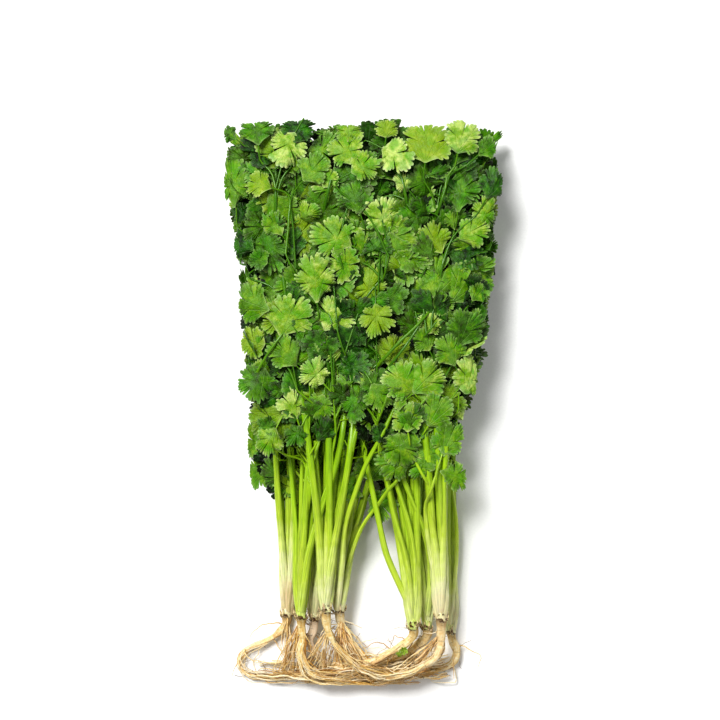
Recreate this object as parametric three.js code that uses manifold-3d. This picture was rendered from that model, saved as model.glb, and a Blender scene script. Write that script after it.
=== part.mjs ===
// A bunch of coriander, roots on, lying on its back on a table.
// Millimetres. +Y runs from the roots to the leaf tips, +Z up from the table, X across the bunch.
import * as THREE from "three";
import { mergeVertices } from "three/addons/utils/BufferGeometryUtils.js";
import Module from "manifold-3d";

const wasm = await Module();
wasm.setup();

// Foliage: a flat pillow of leaves, a little wider at the top than at the foot.
const halfWidthAtFoot = 66;
const widening = 0.066;
const topRowY = 133;
const rowPitch = 38.5;
const columnCount = 4;
const evenRows = 4;
const oddRows = 3;
const oddLayerDrop = 17;
const columnJitter = 2.5;
const rowJitter = 3;
const edgeMargin = 16;
const foliageFootY = -12;
const topRowFan = 0.35;
const lowRowFan = 0.8;
const headingJitter = 0.3;
const smallestSize = 0.94;
const sizeRange = 0.12;

// How far the stack of leaves is pressed down towards its rim, and its ripples.
const rimPress = 0.25;
const rimHalfWidth = 80;
const topPress = 0.22;
const topPressFrom = 105;
const topPressTo = 160;
const rippleShare = 0.06;
const rippleAcross = 12.5;
const rippleAlong = 17;

// Leaf blades.
const bladeThickness = 0.8;
const leafletLength = 23.5;
const leafletSpread = 0.56;
const notchShallow = 0.74;
const notchDeep = 0.56;
const fanHalfAngle = 1.45;
const teeth = 5;
const endLeafletShare = 1.08;
const ribHalfWidth = 0.8;
const sideJoinAt = 5.5;
const endJoinAt = 13.5;
const sideLean = 1.45;
const sprayMiddle = 16;

// Stalks and crowns.
const stalkSides = 5;
const stalkFootRadius = 1.7;
const stalkEndRadius = 0.9;
const branchSides = 4;
const branchRadius = 0.8;
const tipRadius = 0.32;
const tipLead = 5;
const tipSink = 1.5;
const stalkAim = 15;
const stalkBow = 3;
const stalkShares = [0, 0.12, 0.35, 0.6, 0.82, 1];
const straightShare = 0.55;
const branchDrop = 26;
const crownRadius = 3.5;
const crownNeckRadius = 2.9;
const crownLength = 15;
const crownSides = 8;
const crownSink = 5;
const stalkSpread = 1.9;
const stalkRise = 0.4;

// Roots.
const rootGap = 0.8;
const rootSides = 6;
const rootTipRadius = 0.75;
const rootletRadius = 0.5;
const rootletSides = 3;
const rootletCount = 4;
const rootletReach = 15;
const rootletShares = [0, 0.35, 0.7, 1];
const rootletCurl = 0.55;
const rootletRise = 0.3;
const firstRootletAt = 0.22;
const lastRootletAt = 0.92;
const rootFloorY = -157;
const rootLayerFoot = 2.6;
const rootLayerPitch = 3.6;

// The five layers of the pillow, from the table up: the heights of stalks, blades and crowns.
const layers = [
  { stalk: 5.6, blades: [0, 2.2], crown: 4.2 },
  { stalk: 9.2, blades: [12.1, 14.2], crown: 8.5 },
  { stalk: 17.5, blades: [20.4, 22.5], crown: 12.8 },
  { stalk: 25.8, blades: [28.7, 30.8], crown: 17.1 },
  { stalk: 36.6, blades: [40.8, 42.9], crown: 21.4 },
];

// The plants: where each crown lies, its layer, the stretch across the bunch that it fills with leaves,
// its taproot, and its low sprays (place, heading and size).
const plants = [
  {
    crown: [-40, -118],
    layer: 0,
    from: -90,
    to: 0,
    root: [
      [-40.5, -124], [-46, -129.5], [-55, -134], [-63.5, -138],
      [-67, -144.5], [-63.5, -150.5], [-52, -153], [-35, -152],
    ],
    low: [[-56, -27, -0.6, 0.85]],
  },
  {
    crown: [-31.6, -117],
    layer: 3,
    from: -90,
    to: -10,
    root: [[-32, -124], [-33.5, -131], [-34, -141], [-29, -149], [-18, -153]],
  },
  {
    crown: [-25, -119],
    layer: 1,
    from: -90,
    to: 10,
    root: [[-25, -125], [-25.6, -134], [-22.5, -143], [-15, -149], [-1, -152.5], [10, -153]],
  },
  {
    crown: [-18, -113],
    layer: 4,
    from: -90,
    to: 0,
    root: [[-17.8, -119], [-15, -131], [-9.5, -141], [-3, -147], [4, -151]],
  },
  {
    crown: [-11.6, -114],
    layer: 2,
    from: -90,
    to: 90,
    root: [[-11.4, -120], [-7, -131], [0, -140], [8, -146], [17, -149]],
    low: [[4, -42, 0.3, 0.8]],
  },
  {
    crown: [27.5, -123],
    layer: 3,
    from: -10,
    to: 90,
    root: [[27.5, -127.5], [21, -134.5], [11, -140], [0, -145], [-9, -148]],
  },
  {
    crown: [35.6, -124],
    layer: 1,
    from: 10,
    to: 90,
    root: [[35.6, -129], [29.5, -136], [20.5, -142], [12, -145]],
  },
  {
    crown: [45.2, -118],
    layer: 4,
    from: 0,
    to: 90,
    root: [[45.3, -124], [44.5, -133], [39, -140.5], [29.5, -146.5], [17, -150]],
    low: [[22, -20, -0.5, 0.85], [43, -26, 0.3, 0.85]],
  },
  {
    crown: [51.6, -127],
    layer: 0,
    from: 0,
    to: 90,
    root: [[51.8, -132.5], [54, -138], [50, -145], [40.5, -150], [28, -152.5], [14, -153.5]],
  },
];

// A fixed draw from 0 to 1 for each number.
function chance(number) {
  const wave = Math.sin(number * 12.9898 + 4.1414) * 43758.5453;
  return wave - Math.floor(wave);
}

function swing(number, reach) {
  return (chance(number) * 2 - 1) * reach;
}

function ease(share) {
  const s = Math.min(1, Math.max(0, share));
  return s * s * (3 - 2 * s);
}

// Half the foliage's width at a height along the bunch.
function halfWidthAt(y) {
  return halfWidthAtFoot + widening * Math.max(0, y);
}

// What the pillow's full height is multiplied by at a place.
function press(x, y) {
  const rim = 1 - rimPress * Math.pow(Math.abs(x) / rimHalfWidth, 3);
  const top = 1 - topPress * ease((y - topPressFrom) / (topPressTo - topPressFrom));
  const ripple = 1 + rippleShare * Math.sin(x / rippleAcross + 1) * Math.cos(y / rippleAlong);
  return rim * top * ripple;
}

// A closed geometry as a solid that can be joined.
function solidOf(geometry) {
  geometry.deleteAttribute("normal");
  geometry.deleteAttribute("uv");
  const merged = mergeVertices(geometry, 1e-4);
  return new wasm.Manifold(
    new wasm.Mesh({
      numProp: 3,
      vertProperties: merged.attributes.position.array,
      triVerts: new Uint32Array(merged.index.array),
    }),
  );
}

function moveVertices(geometry, place) {
  const position = geometry.attributes.position;
  for (let i = 0; i < position.count; i++) {
    position.setXYZ(i, ...place(position.getX(i), position.getY(i), position.getZ(i)));
  }
}

function curveThrough(points) {
  return new THREE.CatmullRomCurve3(
    points.map((p) => new THREE.Vector3(...p)),
    false,
    "centripetal",
  );
}

// A tapering stem or root with a section at each point of its path.
function taperedTube(points, radiusAt, sides) {
  const curve = curveThrough(points);
  const steps = points.length - 1;
  const corners = [];
  for (let i = 0; i < sides; i++) {
    const turn = ((i + 0.5) / sides) * Math.PI * 2;
    corners.push(new THREE.Vector2(Math.cos(turn), Math.sin(turn)));
  }
  const section = new THREE.Shape(corners);
  const geometry = new THREE.ExtrudeGeometry(section, { depth: 1, steps, bevelEnabled: false });
  moveVertices(geometry, (u, v, w) => {
    const share = Math.round(w * steps) / steps;
    const ahead = curve.getTangent(share);
    const across = new THREE.Vector3(-ahead.y, ahead.x, 0).normalize();
    const up = new THREE.Vector3().crossVectors(ahead, across);
    const radius = radiusAt(share);
    return curve
      .getPoint(share)
      .addScaledVector(across, u * radius)
      .addScaledVector(up, v * radius)
      .toArray();
  });
  return solidOf(geometry);
}

// The cut edge of one leaflet from its left to its right: tooth tips with notches between them.
function leafletEdge(length) {
  const edge = [];
  const middle = length * (1 - leafletSpread);
  for (let i = 0; i < 2 * teeth - 1; i++) {
    const turn = (i / (teeth - 1) - 1) * fanHalfAngle;
    const isNotch = i % 2 === 1;
    const betweenLobes = i === teeth - 2 || i === teeth;
    const cut = isNotch ? (betweenLobes ? notchDeep : notchShallow) : 1;
    const reach = length * leafletSpread * cut;
    edge.push([Math.sin(turn) * reach, middle + Math.cos(turn) * reach]);
  }
  return edge;
}

// Three leaflets cut to the rib in one outline, with the rib's foot at the origin.
function sprayOutline(size) {
  const side = leafletEdge(leafletLength * size);
  const end = leafletEdge(leafletLength * size * endLeafletShare);
  const lean = (p, turn) => [
    p[0] * Math.cos(turn) - p[1] * Math.sin(turn),
    p[0] * Math.sin(turn) + p[1] * Math.cos(turn) + sideJoinAt,
  ];
  const left = side.map((p) => lean(p, sideLean));
  const right = side.map((p) => lean(p, -sideLean));
  const points = [
    [-ribHalfWidth, 0],
    [-ribHalfWidth, sideJoinAt - ribHalfWidth],
    ...left,
    [-ribHalfWidth, sideJoinAt + ribHalfWidth],
    ...end.map((p) => [p[0], p[1] + endJoinAt]),
    [ribHalfWidth, sideJoinAt + ribHalfWidth],
    ...right,
    [ribHalfWidth, sideJoinAt - ribHalfWidth],
    [ribHalfWidth, 0],
  ];
  return new THREE.Shape(points.map((p) => new THREE.Vector2(...p)));
}

// One spray: a blade of three leaflets that follows the pillow's surface at its own height.
function sprayBlade(spray) {
  const geometry = new THREE.ExtrudeGeometry(sprayOutline(spray.size), {
    depth: bladeThickness,
    steps: 1,
    bevelEnabled: false,
  });
  const cos = Math.cos(spray.heading);
  const sin = Math.sin(spray.heading);
  moveVertices(geometry, (u, v, w) => {
    const x = spray.foot[0] + u * cos + v * sin;
    const y = spray.foot[1] - u * sin + v * cos;
    return [x, y, spray.level * press(x, y) + w];
  });
  return solidOf(geometry);
}

function sprayAt(number, row, x, y, heading, size, level) {
  const foot = [x - sprayMiddle * Math.sin(heading), y - sprayMiddle * Math.cos(heading)];
  return { number, row, x, heading, size, level, foot };
}

// The sprays of one layer: rows and columns across the whole pillow, on two levels like a chessboard.
function spraysOfLayer(layerIndex) {
  const sprays = [];
  const odd = layerIndex % 2;
  const columns = columnCount - odd;
  const rows = odd === 1 ? oddRows : evenRows;
  for (let row = 0; row < rows; row++) {
    for (let column = 0; column < columns; column++) {
      const number = layerIndex * 100 + row * 10 + column;
      const y = topRowY - row * rowPitch - odd * oddLayerDrop + swing(number + 0.1, rowJitter);
      const pitch = (2 * halfWidthAt(y) - edgeMargin) / columnCount;
      const x = (column - (columns - 1) / 2) * pitch + swing(number + 0.2, columnJitter);
      const outward = x / halfWidthAt(y);
      const heading = outward * (row === 0 ? topRowFan : lowRowFan) + swing(number + 0.3, headingJitter);
      const size = smallestSize + chance(number + 0.4) * sizeRange;
      const level = layers[layerIndex].blades[(row + column) % 2];
      sprays.push(sprayAt(number, row, x, y, heading, size, level));
    }
  }
  return sprays;
}

// The last points of a stalk, from just short of a spray's foot to just inside its rib.
function tipPoints(spray) {
  return [-tipLead, tipSink].map((along) => {
    const x = spray.foot[0] + along * Math.sin(spray.heading);
    const y = spray.foot[1] + along * Math.cos(spray.heading);
    return [x, y, spray.level * press(x, y) + bladeThickness / 2];
  });
}

// The point in the stalks' layer that a stalk aims for before it turns to its spray.
function aimPoint(plant, spray) {
  const x = spray.foot[0] - stalkAim * Math.sin(spray.heading);
  const y = spray.foot[1] - stalkAim * Math.cos(spray.heading);
  return [x, y, layers[plant.layer].stalk * press(x, y)];
}

// A stalk of a plant's own, from inside its crown to a spray.
function stalkPoints(plant, spray, offset, rise) {
  const layer = layers[plant.layer];
  const [crownX, crownY] = plant.crown;
  const startX = crownX + offset;
  const startY = crownY + crownSink;
  const [aimX, aimY] = aimPoint(plant, spray);
  const bow = swing(spray.number + 0.5, stalkBow);
  const points = stalkShares.map((share) => {
    const y = startY + (aimY - startY) * share;
    const drift = straightShare * share + (1 - straightShare) * ease(share);
    const x = startX + (aimX - startX) * drift + bow * Math.sin(Math.PI * share);
    const lift = ease((y - startY) / (foliageFootY - startY));
    return [x, y, layer.crown + rise * (1 - lift) + (layer.stalk * press(x, y) - layer.crown) * lift];
  });
  return [...points, ...tipPoints(spray)];
}

function nearestTo(items, valueOf, wanted) {
  return items.reduce((best, item) =>
    Math.abs(valueOf(item) - wanted) < Math.abs(valueOf(best) - wanted) ? item : best,
  );
}

function shootOf(plant) {
  const layer = layers[plant.layer];
  const [crownX, crownY] = plant.crown;
  const crownPath = [0, 0.5, 1].map((share) => [crownX, crownY + crownLength * share, layer.crown]);
  const crownRadiusAt = (t) => crownRadius + (crownNeckRadius - crownRadius) * t;
  const solids = [taperedTube(crownPath, crownRadiusAt, crownSides)];
  const own = spraysOfLayer(plant.layer).filter((s) => s.x >= plant.from && s.x < plant.to);
  const low = (plant.low ?? []).map(([x, y, heading, size], i) =>
    sprayAt(800 + plant.layer * 10 + i, evenRows, x, y, heading, size, layer.blades[i % 2]),
  );

  // The sprays of the top row and the low ones have stalks of their own.
  const stalked = [...own.filter((s) => s.row === 0), ...low].sort((a, b) => a.x - b.x);
  const routes = stalked.map((spray, i) => {
    const across = stalked.length > 1 ? (2 * i) / (stalked.length - 1) - 1 : 0;
    const points = stalkPoints(plant, spray, across * stalkSpread, i % 2 === 0 ? stalkRise : -stalkRise);
    const bare = points.length - 3;
    const steps = points.length - 1;
    const radiusAt = (t) => {
      const share = (t * steps) / bare;
      return share > 1.001 ? tipRadius : stalkFootRadius + (stalkEndRadius - stalkFootRadius) * share;
    };
    solids.push(taperedTube(points, radiusAt, stalkSides));
    return { x: spray.x, footY: spray.foot[1], bare: points.slice(0, bare + 1) };
  });

  // The others grow on side branches of the nearest stalk that runs past them.
  const others = own.filter((s) => s.row > 0);
  others.forEach((spray) => {
    const passing = routes.filter((r) => r.footY > spray.foot[1]);
    const near = nearestTo(passing, (r) => r.x, spray.x);
    const start = nearestTo(near.bare, (p) => p[1], spray.foot[1] - branchDrop);
    const points = [start, aimPoint(plant, spray), ...tipPoints(spray)];
    solids.push(taperedTube(points, (t) => (t > 0.5 ? tipRadius : branchRadius), branchSides));
  });
  [...stalked, ...others].forEach((spray) => solids.push(sprayBlade(spray)));
  return solids.reduce((all, solid) => all.add(solid));
}

function rootOf(plant, plantIndex) {
  const layer = layers[plant.layer];
  const [crownX, crownY] = plant.crown;
  const endHeight = rootLayerFoot + rootLayerPitch * plant.layer;
  const path = [
    [crownX, crownY - rootGap, layer.crown],
    ...plant.root.map(([x, y], i) => {
      const share = (i + 1) / plant.root.length;
      return [x, y, layer.crown + (endHeight - layer.crown) * share];
    }),
  ];
  const radiusAt = (t) => rootTipRadius + (crownRadius - 0.2 - rootTipRadius) * Math.pow(1 - t, 1.25);
  const solids = [taperedTube(path, radiusAt, rootSides)];
  const curve = curveThrough(path);
  for (let i = 0; i < rootletCount; i++) {
    const number = 900 + plantIndex * 20 + i;
    const share = firstRootletAt + ((lastRootletAt - firstRootletAt) * i) / (rootletCount - 1);
    const start = curve.getPointAt(share);
    const along = curve.getTangentAt(share);
    const side = i % 2 === 0 ? 1 : -1;
    const reach = rootletReach * (0.7 + 0.6 * chance(number));
    const points = rootletShares.map((s) => {
      const aside = side * rootletCurl * Math.sin(s * 2);
      const x = start.x + (along.x * s - along.y * aside) * reach;
      const y = start.y + (along.y * s + along.x * aside) * reach;
      return [x, Math.max(rootFloorY, y), start.z + swing(number + s, rootletRise) * s];
    });
    solids.push(taperedTube(points, (t) => rootletRadius * (1 - 0.3 * t), rootletSides));
  }
  return solids.reduce((all, solid) => all.add(solid));
}

function meshOf(name, solid, material) {
  const made = solid.getMesh();
  const geometry = new THREE.BufferGeometry();
  geometry.setAttribute("position", new THREE.BufferAttribute(new Float32Array(made.vertProperties), 3));
  geometry.setIndex(new THREE.BufferAttribute(new Uint32Array(made.triVerts), 1));
  geometry.computeVertexNormals();
  const mesh = new THREE.Mesh(geometry, material);
  mesh.name = name;
  return mesh;
}

const shootGreen = new THREE.MeshStandardMaterial({ color: 0x5f9a2a, roughness: 0.55, metalness: 0 });
const rootTan = new THREE.MeshStandardMaterial({ color: 0xd2a467, roughness: 0.8, metalness: 0 });

const bunch = new THREE.Group();
plants.forEach((plant, i) => {
  bunch.add(meshOf(`plant_${i + 1}_shoot`, shootOf(plant), shootGreen));
  bunch.add(meshOf(`plant_${i + 1}_root`, rootOf(plant, i), rootTan));
});

// The origin is the middle of the bunch's footprint on the table.
const box = new THREE.Box3().setFromObject(bunch);
bunch.position.set(-(box.min.x + box.max.x) / 2, -(box.min.y + box.max.y) / 2, -box.min.z);

export default bunch;
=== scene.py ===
import math

import bpy
import numpy as np
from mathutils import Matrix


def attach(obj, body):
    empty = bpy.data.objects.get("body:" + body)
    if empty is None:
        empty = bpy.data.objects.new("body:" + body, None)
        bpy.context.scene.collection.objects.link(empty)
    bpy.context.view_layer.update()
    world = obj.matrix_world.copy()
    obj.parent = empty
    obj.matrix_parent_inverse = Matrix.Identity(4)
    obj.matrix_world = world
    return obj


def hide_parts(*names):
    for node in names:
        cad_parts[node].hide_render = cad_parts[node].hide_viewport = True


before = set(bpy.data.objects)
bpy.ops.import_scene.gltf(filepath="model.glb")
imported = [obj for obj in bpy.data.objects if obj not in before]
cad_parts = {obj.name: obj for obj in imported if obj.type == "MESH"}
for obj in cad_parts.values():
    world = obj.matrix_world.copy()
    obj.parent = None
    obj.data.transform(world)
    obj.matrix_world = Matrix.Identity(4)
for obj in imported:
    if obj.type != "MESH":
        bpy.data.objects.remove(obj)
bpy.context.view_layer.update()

mm = 0.001

# The bunch's layout in millimetres, as the solids have it: X across, Y from roots to leaf tips, Z up from
# the table. photoPlace turns a pixel of the 720 x 720 photograph into that layout.
layout = {
    "shift": (2.4134, -0.6268),  # from the layout to the frame, whose origin is the middle of the footprint
    "pixelSize": 0.55,
    "pixelOrigin": (363.5, 403.5),
    "halfWidthAtFoot": 66,
    "widening": 0.066,
    "topRowY": 133,
    "rowPitch": 38.5,
    "columnCount": 4,
    "rowsByLayer": (4, 3),
    "oddLayerDrop": 17,
    "columnJitter": 2.5,
    "rowJitter": 3,
    "edgeMargin": 16,
    "foliageFootY": -12,
    "topRowFan": 0.35,
    "lowRowFan": 0.8,
    "headingJitter": 0.3,
    "smallestSize": 0.94,
    "sizeRange": 0.12,
    "sprayMiddle": 16,
    "sideJoinAt": 5.5,
    "endJoinAt": 13.5,
    "sideLean": 1.45,
    "leafletLength": 23.5,
    "crownSink": 5,
    "stalkAim": 15,
    "stalkBow": 3,
    "stalkShares": (0, 0.12, 0.35, 0.6, 0.82, 1),
    "straightShare": 0.55,
    "stalkSpread": 1.9,
    "stalkRise": 0.4,
    "branchDrop": 26,
    "tipReaches": (-5, 1.5),  # where a stalk's last two points lie along its spray
    "tipLift": 0.4,
    "topSprayFrom": 40,
    "topSprayDrop": 5.0,
    "rootLayerFoot": 2.6,
    "rootLayerPitch": 3.6,
    "rootFloorY": -157,
    "tipLimitY": 157,  # the leaves' tips are pressed flat against these two
    "lidZ": 46.0,
    "waistLeft": 6,  # how much narrower the leaves lie where the stalks come out
    "waistRight": 12,
    "waistFrom": 32,
    "waistLength": 48,
}

# The five layers of the pillow of leaves: the heights of their stalks, blades and crowns.
layers = [
    {"stalk": 5.6, "blades": (0.3, 2.2), "crown": 4.2},
    {"stalk": 9.2, "blades": (12.1, 14.2), "crown": 8.5},
    {"stalk": 17.5, "blades": (20.4, 22.5), "crown": 12.8},
    {"stalk": 25.8, "blades": (28.7, 30.8), "crown": 17.1},
    {"stalk": 36.6, "blades": (40.8, 42.9), "crown": 21.4},
]

# The plants: crown, layer, the stretch across the bunch that they fill, taproot, and low sprays (x, y,
# heading, size). tail carries the taproot on along the bottom of the bunch, where it thins out by the
# power taper. hue is how green the feet of the stalks are, blush how pink the taproot is.
plants = [
    {
        "crown": (-42.6, -118), "layer": 0, "span": (-90, 0), "blush": 0.15, "hue": -0.03,
        "root": [(-43.5, -123.5), (-48.5, -129.5), (-56.5, -134.5), (-66, -138.5),
                 (-70, -145), (-66.5, -151), (-53, -153.5), (-35, -152)],
        "tail": [(-18, -153.5), (2, -154.5), (20, -153), (34, -151)], "taper": 6,
        "low": [(-56, -27, -0.6, 0.85)],
    },
    {
        "crown": (-34.6, -117), "layer": 3, "span": (-90, -10), "blush": 0.0, "hue": 0.28,
        "root": [(-34.5, -123), (-33.5, -131), (-34, -141), (-29, -149), (-18, -153)],
        "tail": [(-4, -153), (8, -150)],
        "low": [],
    },
    {
        "crown": (-27.2, -119), "layer": 1, "span": (-90, 10), "blush": 0.6, "hue": 0.05,
        "root": [(-27.5, -125), (-29, -134), (-22.5, -143), (-15, -149), (-1, -152.5), (10, -153)],
        "tail": [(22, -151), (33, -148)],
        "low": [],
    },
    {
        "crown": (-20.6, -113), "layer": 4, "span": (-90, 0), "blush": 0.0, "hue": 0.08,
        "root": [(-20.5, -119), (-18, -129), (-9.5, -141), (-3, -147), (4, -151)],
        "tail": [(13, -153), (24, -154)],
        "low": [],
    },
    {
        "crown": (-13.5, -114), "layer": 2, "span": (-90, 90), "blush": 0.1, "hue": 0.06,
        "root": [(-13.3, -120), (-8.5, -131), (0, -140), (8, -146), (17, -149)],
        "tail": [(27, -150), (36, -149)],
        "low": [(4, -42, 0.3, 0.8)],
    },
    {
        "crown": (27.5, -123), "layer": 3, "span": (-10, 90), "blush": 0.0, "hue": 0.24,
        "root": [(27.5, -127.5), (21, -134.5), (11, -140), (0, -145), (-9, -148)],
        "tail": [(-20, -151), (-31, -154)], "taper": 1.25,
        "low": [],
    },
    {
        "crown": (35.6, -124), "layer": 1, "span": (10, 90), "blush": 0.1, "hue": 0.2,
        "root": [(35.6, -129), (29.5, -136), (20.5, -142), (12, -145)],
        "tail": [(2, -149), (-12, -153), (-27, -155)], "taper": 1.4,
        "low": [],
    },
    {
        "crown": (42.6, -118), "layer": 4, "span": (0, 90), "blush": 0.2, "hue": 0.0,
        "root": [(42.6, -124), (42.4, -132), (39, -140.5), (29.5, -146.5), (17, -150)],
        "tail": [(6, -151), (-8, -150.5), (-22, -152)], "taper": 1.4,
        "low": [(22, -20, -0.5, 0.85), (43, -26, 0.3, 0.85)],
    },
    {
        "crown": (48.6, -127), "layer": 0, "span": (0, 90), "blush": 0.05, "hue": 0.1,
        "root": [(49.4, -132.5), (51.8, -138), (50, -145), (40.5, -150), (28, -152.5), (14, -153.5)],
        "tail": [(-2, -155), (-20, -155.5), (-38, -154.5)],
        "low": [],
    },
]


# A steady draw from 0 to 1. Each leaf, stalk and root has a number of its own, and the decimals that are
# added to it keep its draws apart.
def chance(number):
    wave = math.sin(number * 12.9898 + 4.1414) * 43758.5453
    return wave - math.floor(wave)


def swing(number, reach):
    return (chance(number) * 2 - 1) * reach


def ease(share):
    s = np.clip(share, 0, 1)
    return s * s * (3 - 2 * s)


def mix(a, b, share):
    return a + (b - a) * share


def photoPlace(px, py):
    ox, oy = layout["pixelOrigin"]
    return (px - ox) * layout["pixelSize"], (oy - py) * layout["pixelSize"]


def halfWidthAt(y):
    return layout["halfWidthAtFoot"] + layout["widening"] * max(0, y)


# The same for loose leaves, which draw in towards the stalks.
def leafWidthAt(y, side):
    waist = layout["waistRight"] if side > 0 else layout["waistLeft"]
    return halfWidthAt(y) - waist * ease((layout["waistFrom"] - y) / layout["waistLength"])


pressing = {
    "rim": 0.25,
    "rimHalfWidth": 80,
    "top": 0.22,
    "topFrom": 105,
    "topLength": 55,
    "ripple": 0.06,
    "rippleAcross": 12.5,
    "rippleAlong": 17,
}


# What the pillow's full height is multiplied by at a place: pressed down at the rim and the top, and
# rippled.
def press(x, y):
    p = pressing
    rim = 1 - p["rim"] * np.power(np.abs(x) / p["rimHalfWidth"], 3)
    top = 1 - p["top"] * ease((y - p["topFrom"]) / p["topLength"])
    ripple = 1 + p["ripple"] * np.sin(x / p["rippleAcross"] + 1) * np.cos(y / p["rippleAlong"])
    return rim * top * ripple


# Bends values that near a limit, so that they never pass it.
def pressedFlat(values, limit, give):
    over = np.maximum(values - limit + give, 0)
    return values - over + give * (1 - np.exp(-over / give))


def sprayAt(number, row, x, y, heading, size, level):
    back = layout["sprayMiddle"]
    foot = (x - back * math.sin(heading), y - back * math.cos(heading))
    return {"number": number, "row": row, "x": x, "heading": heading, "size": size, "level": level,
            "foot": foot}


def spraysOfLayer(layerIndex):
    sprays = []
    odd = layerIndex % 2
    columns = layout["columnCount"] - odd
    for row in range(layout["rowsByLayer"][odd]):
        for column in range(columns):
            number = layerIndex * 100 + row * 10 + column
            drop = row * layout["rowPitch"] + odd * layout["oddLayerDrop"]
            y = layout["topRowY"] - drop + swing(number + 0.1, layout["rowJitter"])
            pitch = (2 * halfWidthAt(y) - layout["edgeMargin"]) / layout["columnCount"]
            x = (column - (columns - 1) / 2) * pitch + swing(number + 0.2, layout["columnJitter"])
            fan = layout["topRowFan"] if row == 0 else layout["lowRowFan"]
            heading = x / halfWidthAt(y) * fan + swing(number + 0.3, layout["headingJitter"])
            size = layout["smallestSize"] + chance(number + 0.4) * layout["sizeRange"]
            level = layers[layerIndex]["blades"][(row + column) % 2]
            sprays.append(sprayAt(number, row, x, y, heading, size, level))
    return sprays


def along(spray, reach):
    x = spray["foot"][0] + reach * math.sin(spray["heading"])
    y = spray["foot"][1] + reach * math.cos(spray["heading"])
    return x, y


def aimPoint(plant, spray):
    x, y = along(spray, -layout["stalkAim"])
    return x, y, layers[plant["layer"]]["stalk"] * press(x, y)


lowRow = 4  # the row of the low sprays, after the rows of the layers


# A spray's height: the uppermost ones lie a little lower than in the solids, under the leaves that are
# placed by the photograph.
def leafLevel(spray):
    return spray["level"] - (layout["topSprayDrop"] if spray["level"] > layout["topSprayFrom"] else 0.0)


def tipPoints(spray):
    level = leafLevel(spray) if spray["row"] == lowRow else spray["level"]
    places = [along(spray, reach) for reach in layout["tipReaches"]]
    return [(x, y, level * press(x, y) + layout["tipLift"]) for x, y in places]


def stalkPoints(plant, spray, offset, rise):
    layer = layers[plant["layer"]]
    startX = plant["crown"][0] + offset
    startY = plant["crown"][1] + layout["crownSink"]
    aimX, aimY, _ = aimPoint(plant, spray)
    bow = swing(spray["number"] + 0.5, layout["stalkBow"])
    points = []
    for share in layout["stalkShares"]:
        y = mix(startY, aimY, share)
        drift = layout["straightShare"] * share + (1 - layout["straightShare"]) * ease(share)
        x = startX + (aimX - startX) * drift + bow * math.sin(math.pi * share)
        lift = ease((y - startY) / (layout["foliageFootY"] - startY))
        foot = layer["crown"] + rise * (1 - lift)
        points.append((x, y, foot + (layer["stalk"] * press(x, y) - layer["crown"]) * lift))
    return points + tipPoints(spray)


# A smooth curve through points, stepped evenly.
def smoothPath(points, spacing):
    p = np.array(points, float)
    lengths = np.linalg.norm(np.diff(p, axis=0), axis=1)
    d = np.concatenate([[0], np.cumsum(lengths)])
    s = np.linspace(0, d[-1], max(3, int(d[-1] / spacing)) + 1)
    slope = np.gradient(p, d, axis=0)
    i = np.clip(np.searchsorted(d, s, side="right") - 1, 0, len(d) - 2)
    h = (d[i + 1] - d[i])[:, None]
    t = ((s - d[i]) / (d[i + 1] - d[i]))[:, None]
    a = (2 * t**3 - 3 * t**2 + 1) * p[i] + (t**3 - 2 * t**2 + t) * h * slope[i]
    b = (-2 * t**3 + 3 * t**2) * p[i + 1] + (t**3 - t**2) * h * slope[i + 1]
    return a + b


# Mesh data of one piece, gathered from many leaflets or strands.
def newPile():
    return {"points": [], "triangles": [], "place": [], "mood": [], "count": 0}


def addToPile(pile, points, triangles, place, mood):
    pile["points"].append(points)
    pile["triangles"].append(triangles + pile["count"])
    pile["place"].append(place)
    pile["mood"].append(mood)
    pile["count"] += len(points)


def triangleCount(pile):
    return sum(len(t) for t in pile["triangles"])


sharpFrom = math.radians(62)  # the thin edges of the leaves stay sharp, their faces smooth


def pieceFrom(name, pile, material, nodes):
    points = np.concatenate(pile["points"])
    points[:, 0] += layout["shift"][0]
    points[:, 1] += layout["shift"][1]
    points *= mm
    triangles = np.concatenate(pile["triangles"]).astype(np.int32)
    mesh = bpy.data.meshes.new(name)
    mesh.vertices.add(len(points))
    mesh.vertices.foreach_set("co", points.astype(np.float32).ravel())
    mesh.loops.add(triangles.size)
    mesh.loops.foreach_set("vertex_index", triangles.ravel())
    mesh.polygons.add(len(triangles))
    mesh.polygons.foreach_set("loop_start", np.arange(0, triangles.size, 3, dtype=np.int32))
    mesh.polygons.foreach_set("use_smooth", np.ones(len(triangles), bool))
    mesh.update(calc_edges=True)
    mesh.validate()
    values = mesh.attributes.new("place", "FLOAT_VECTOR", "POINT")
    values.data.foreach_set("vector", np.concatenate(pile["place"]).astype(np.float32).ravel())
    values = mesh.attributes.new("mood", "FLOAT_COLOR", "POINT")
    values.data.foreach_set("color", np.concatenate(pile["mood"]).astype(np.float32).ravel())
    mesh.set_sharp_from_angle(angle=sharpFrom)
    mesh.materials.append(material)
    piece = bpy.data.objects.new(name, mesh)
    bpy.context.scene.collection.objects.link(piece)
    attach(piece, "root")
    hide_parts(*nodes)
    return piece


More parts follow.
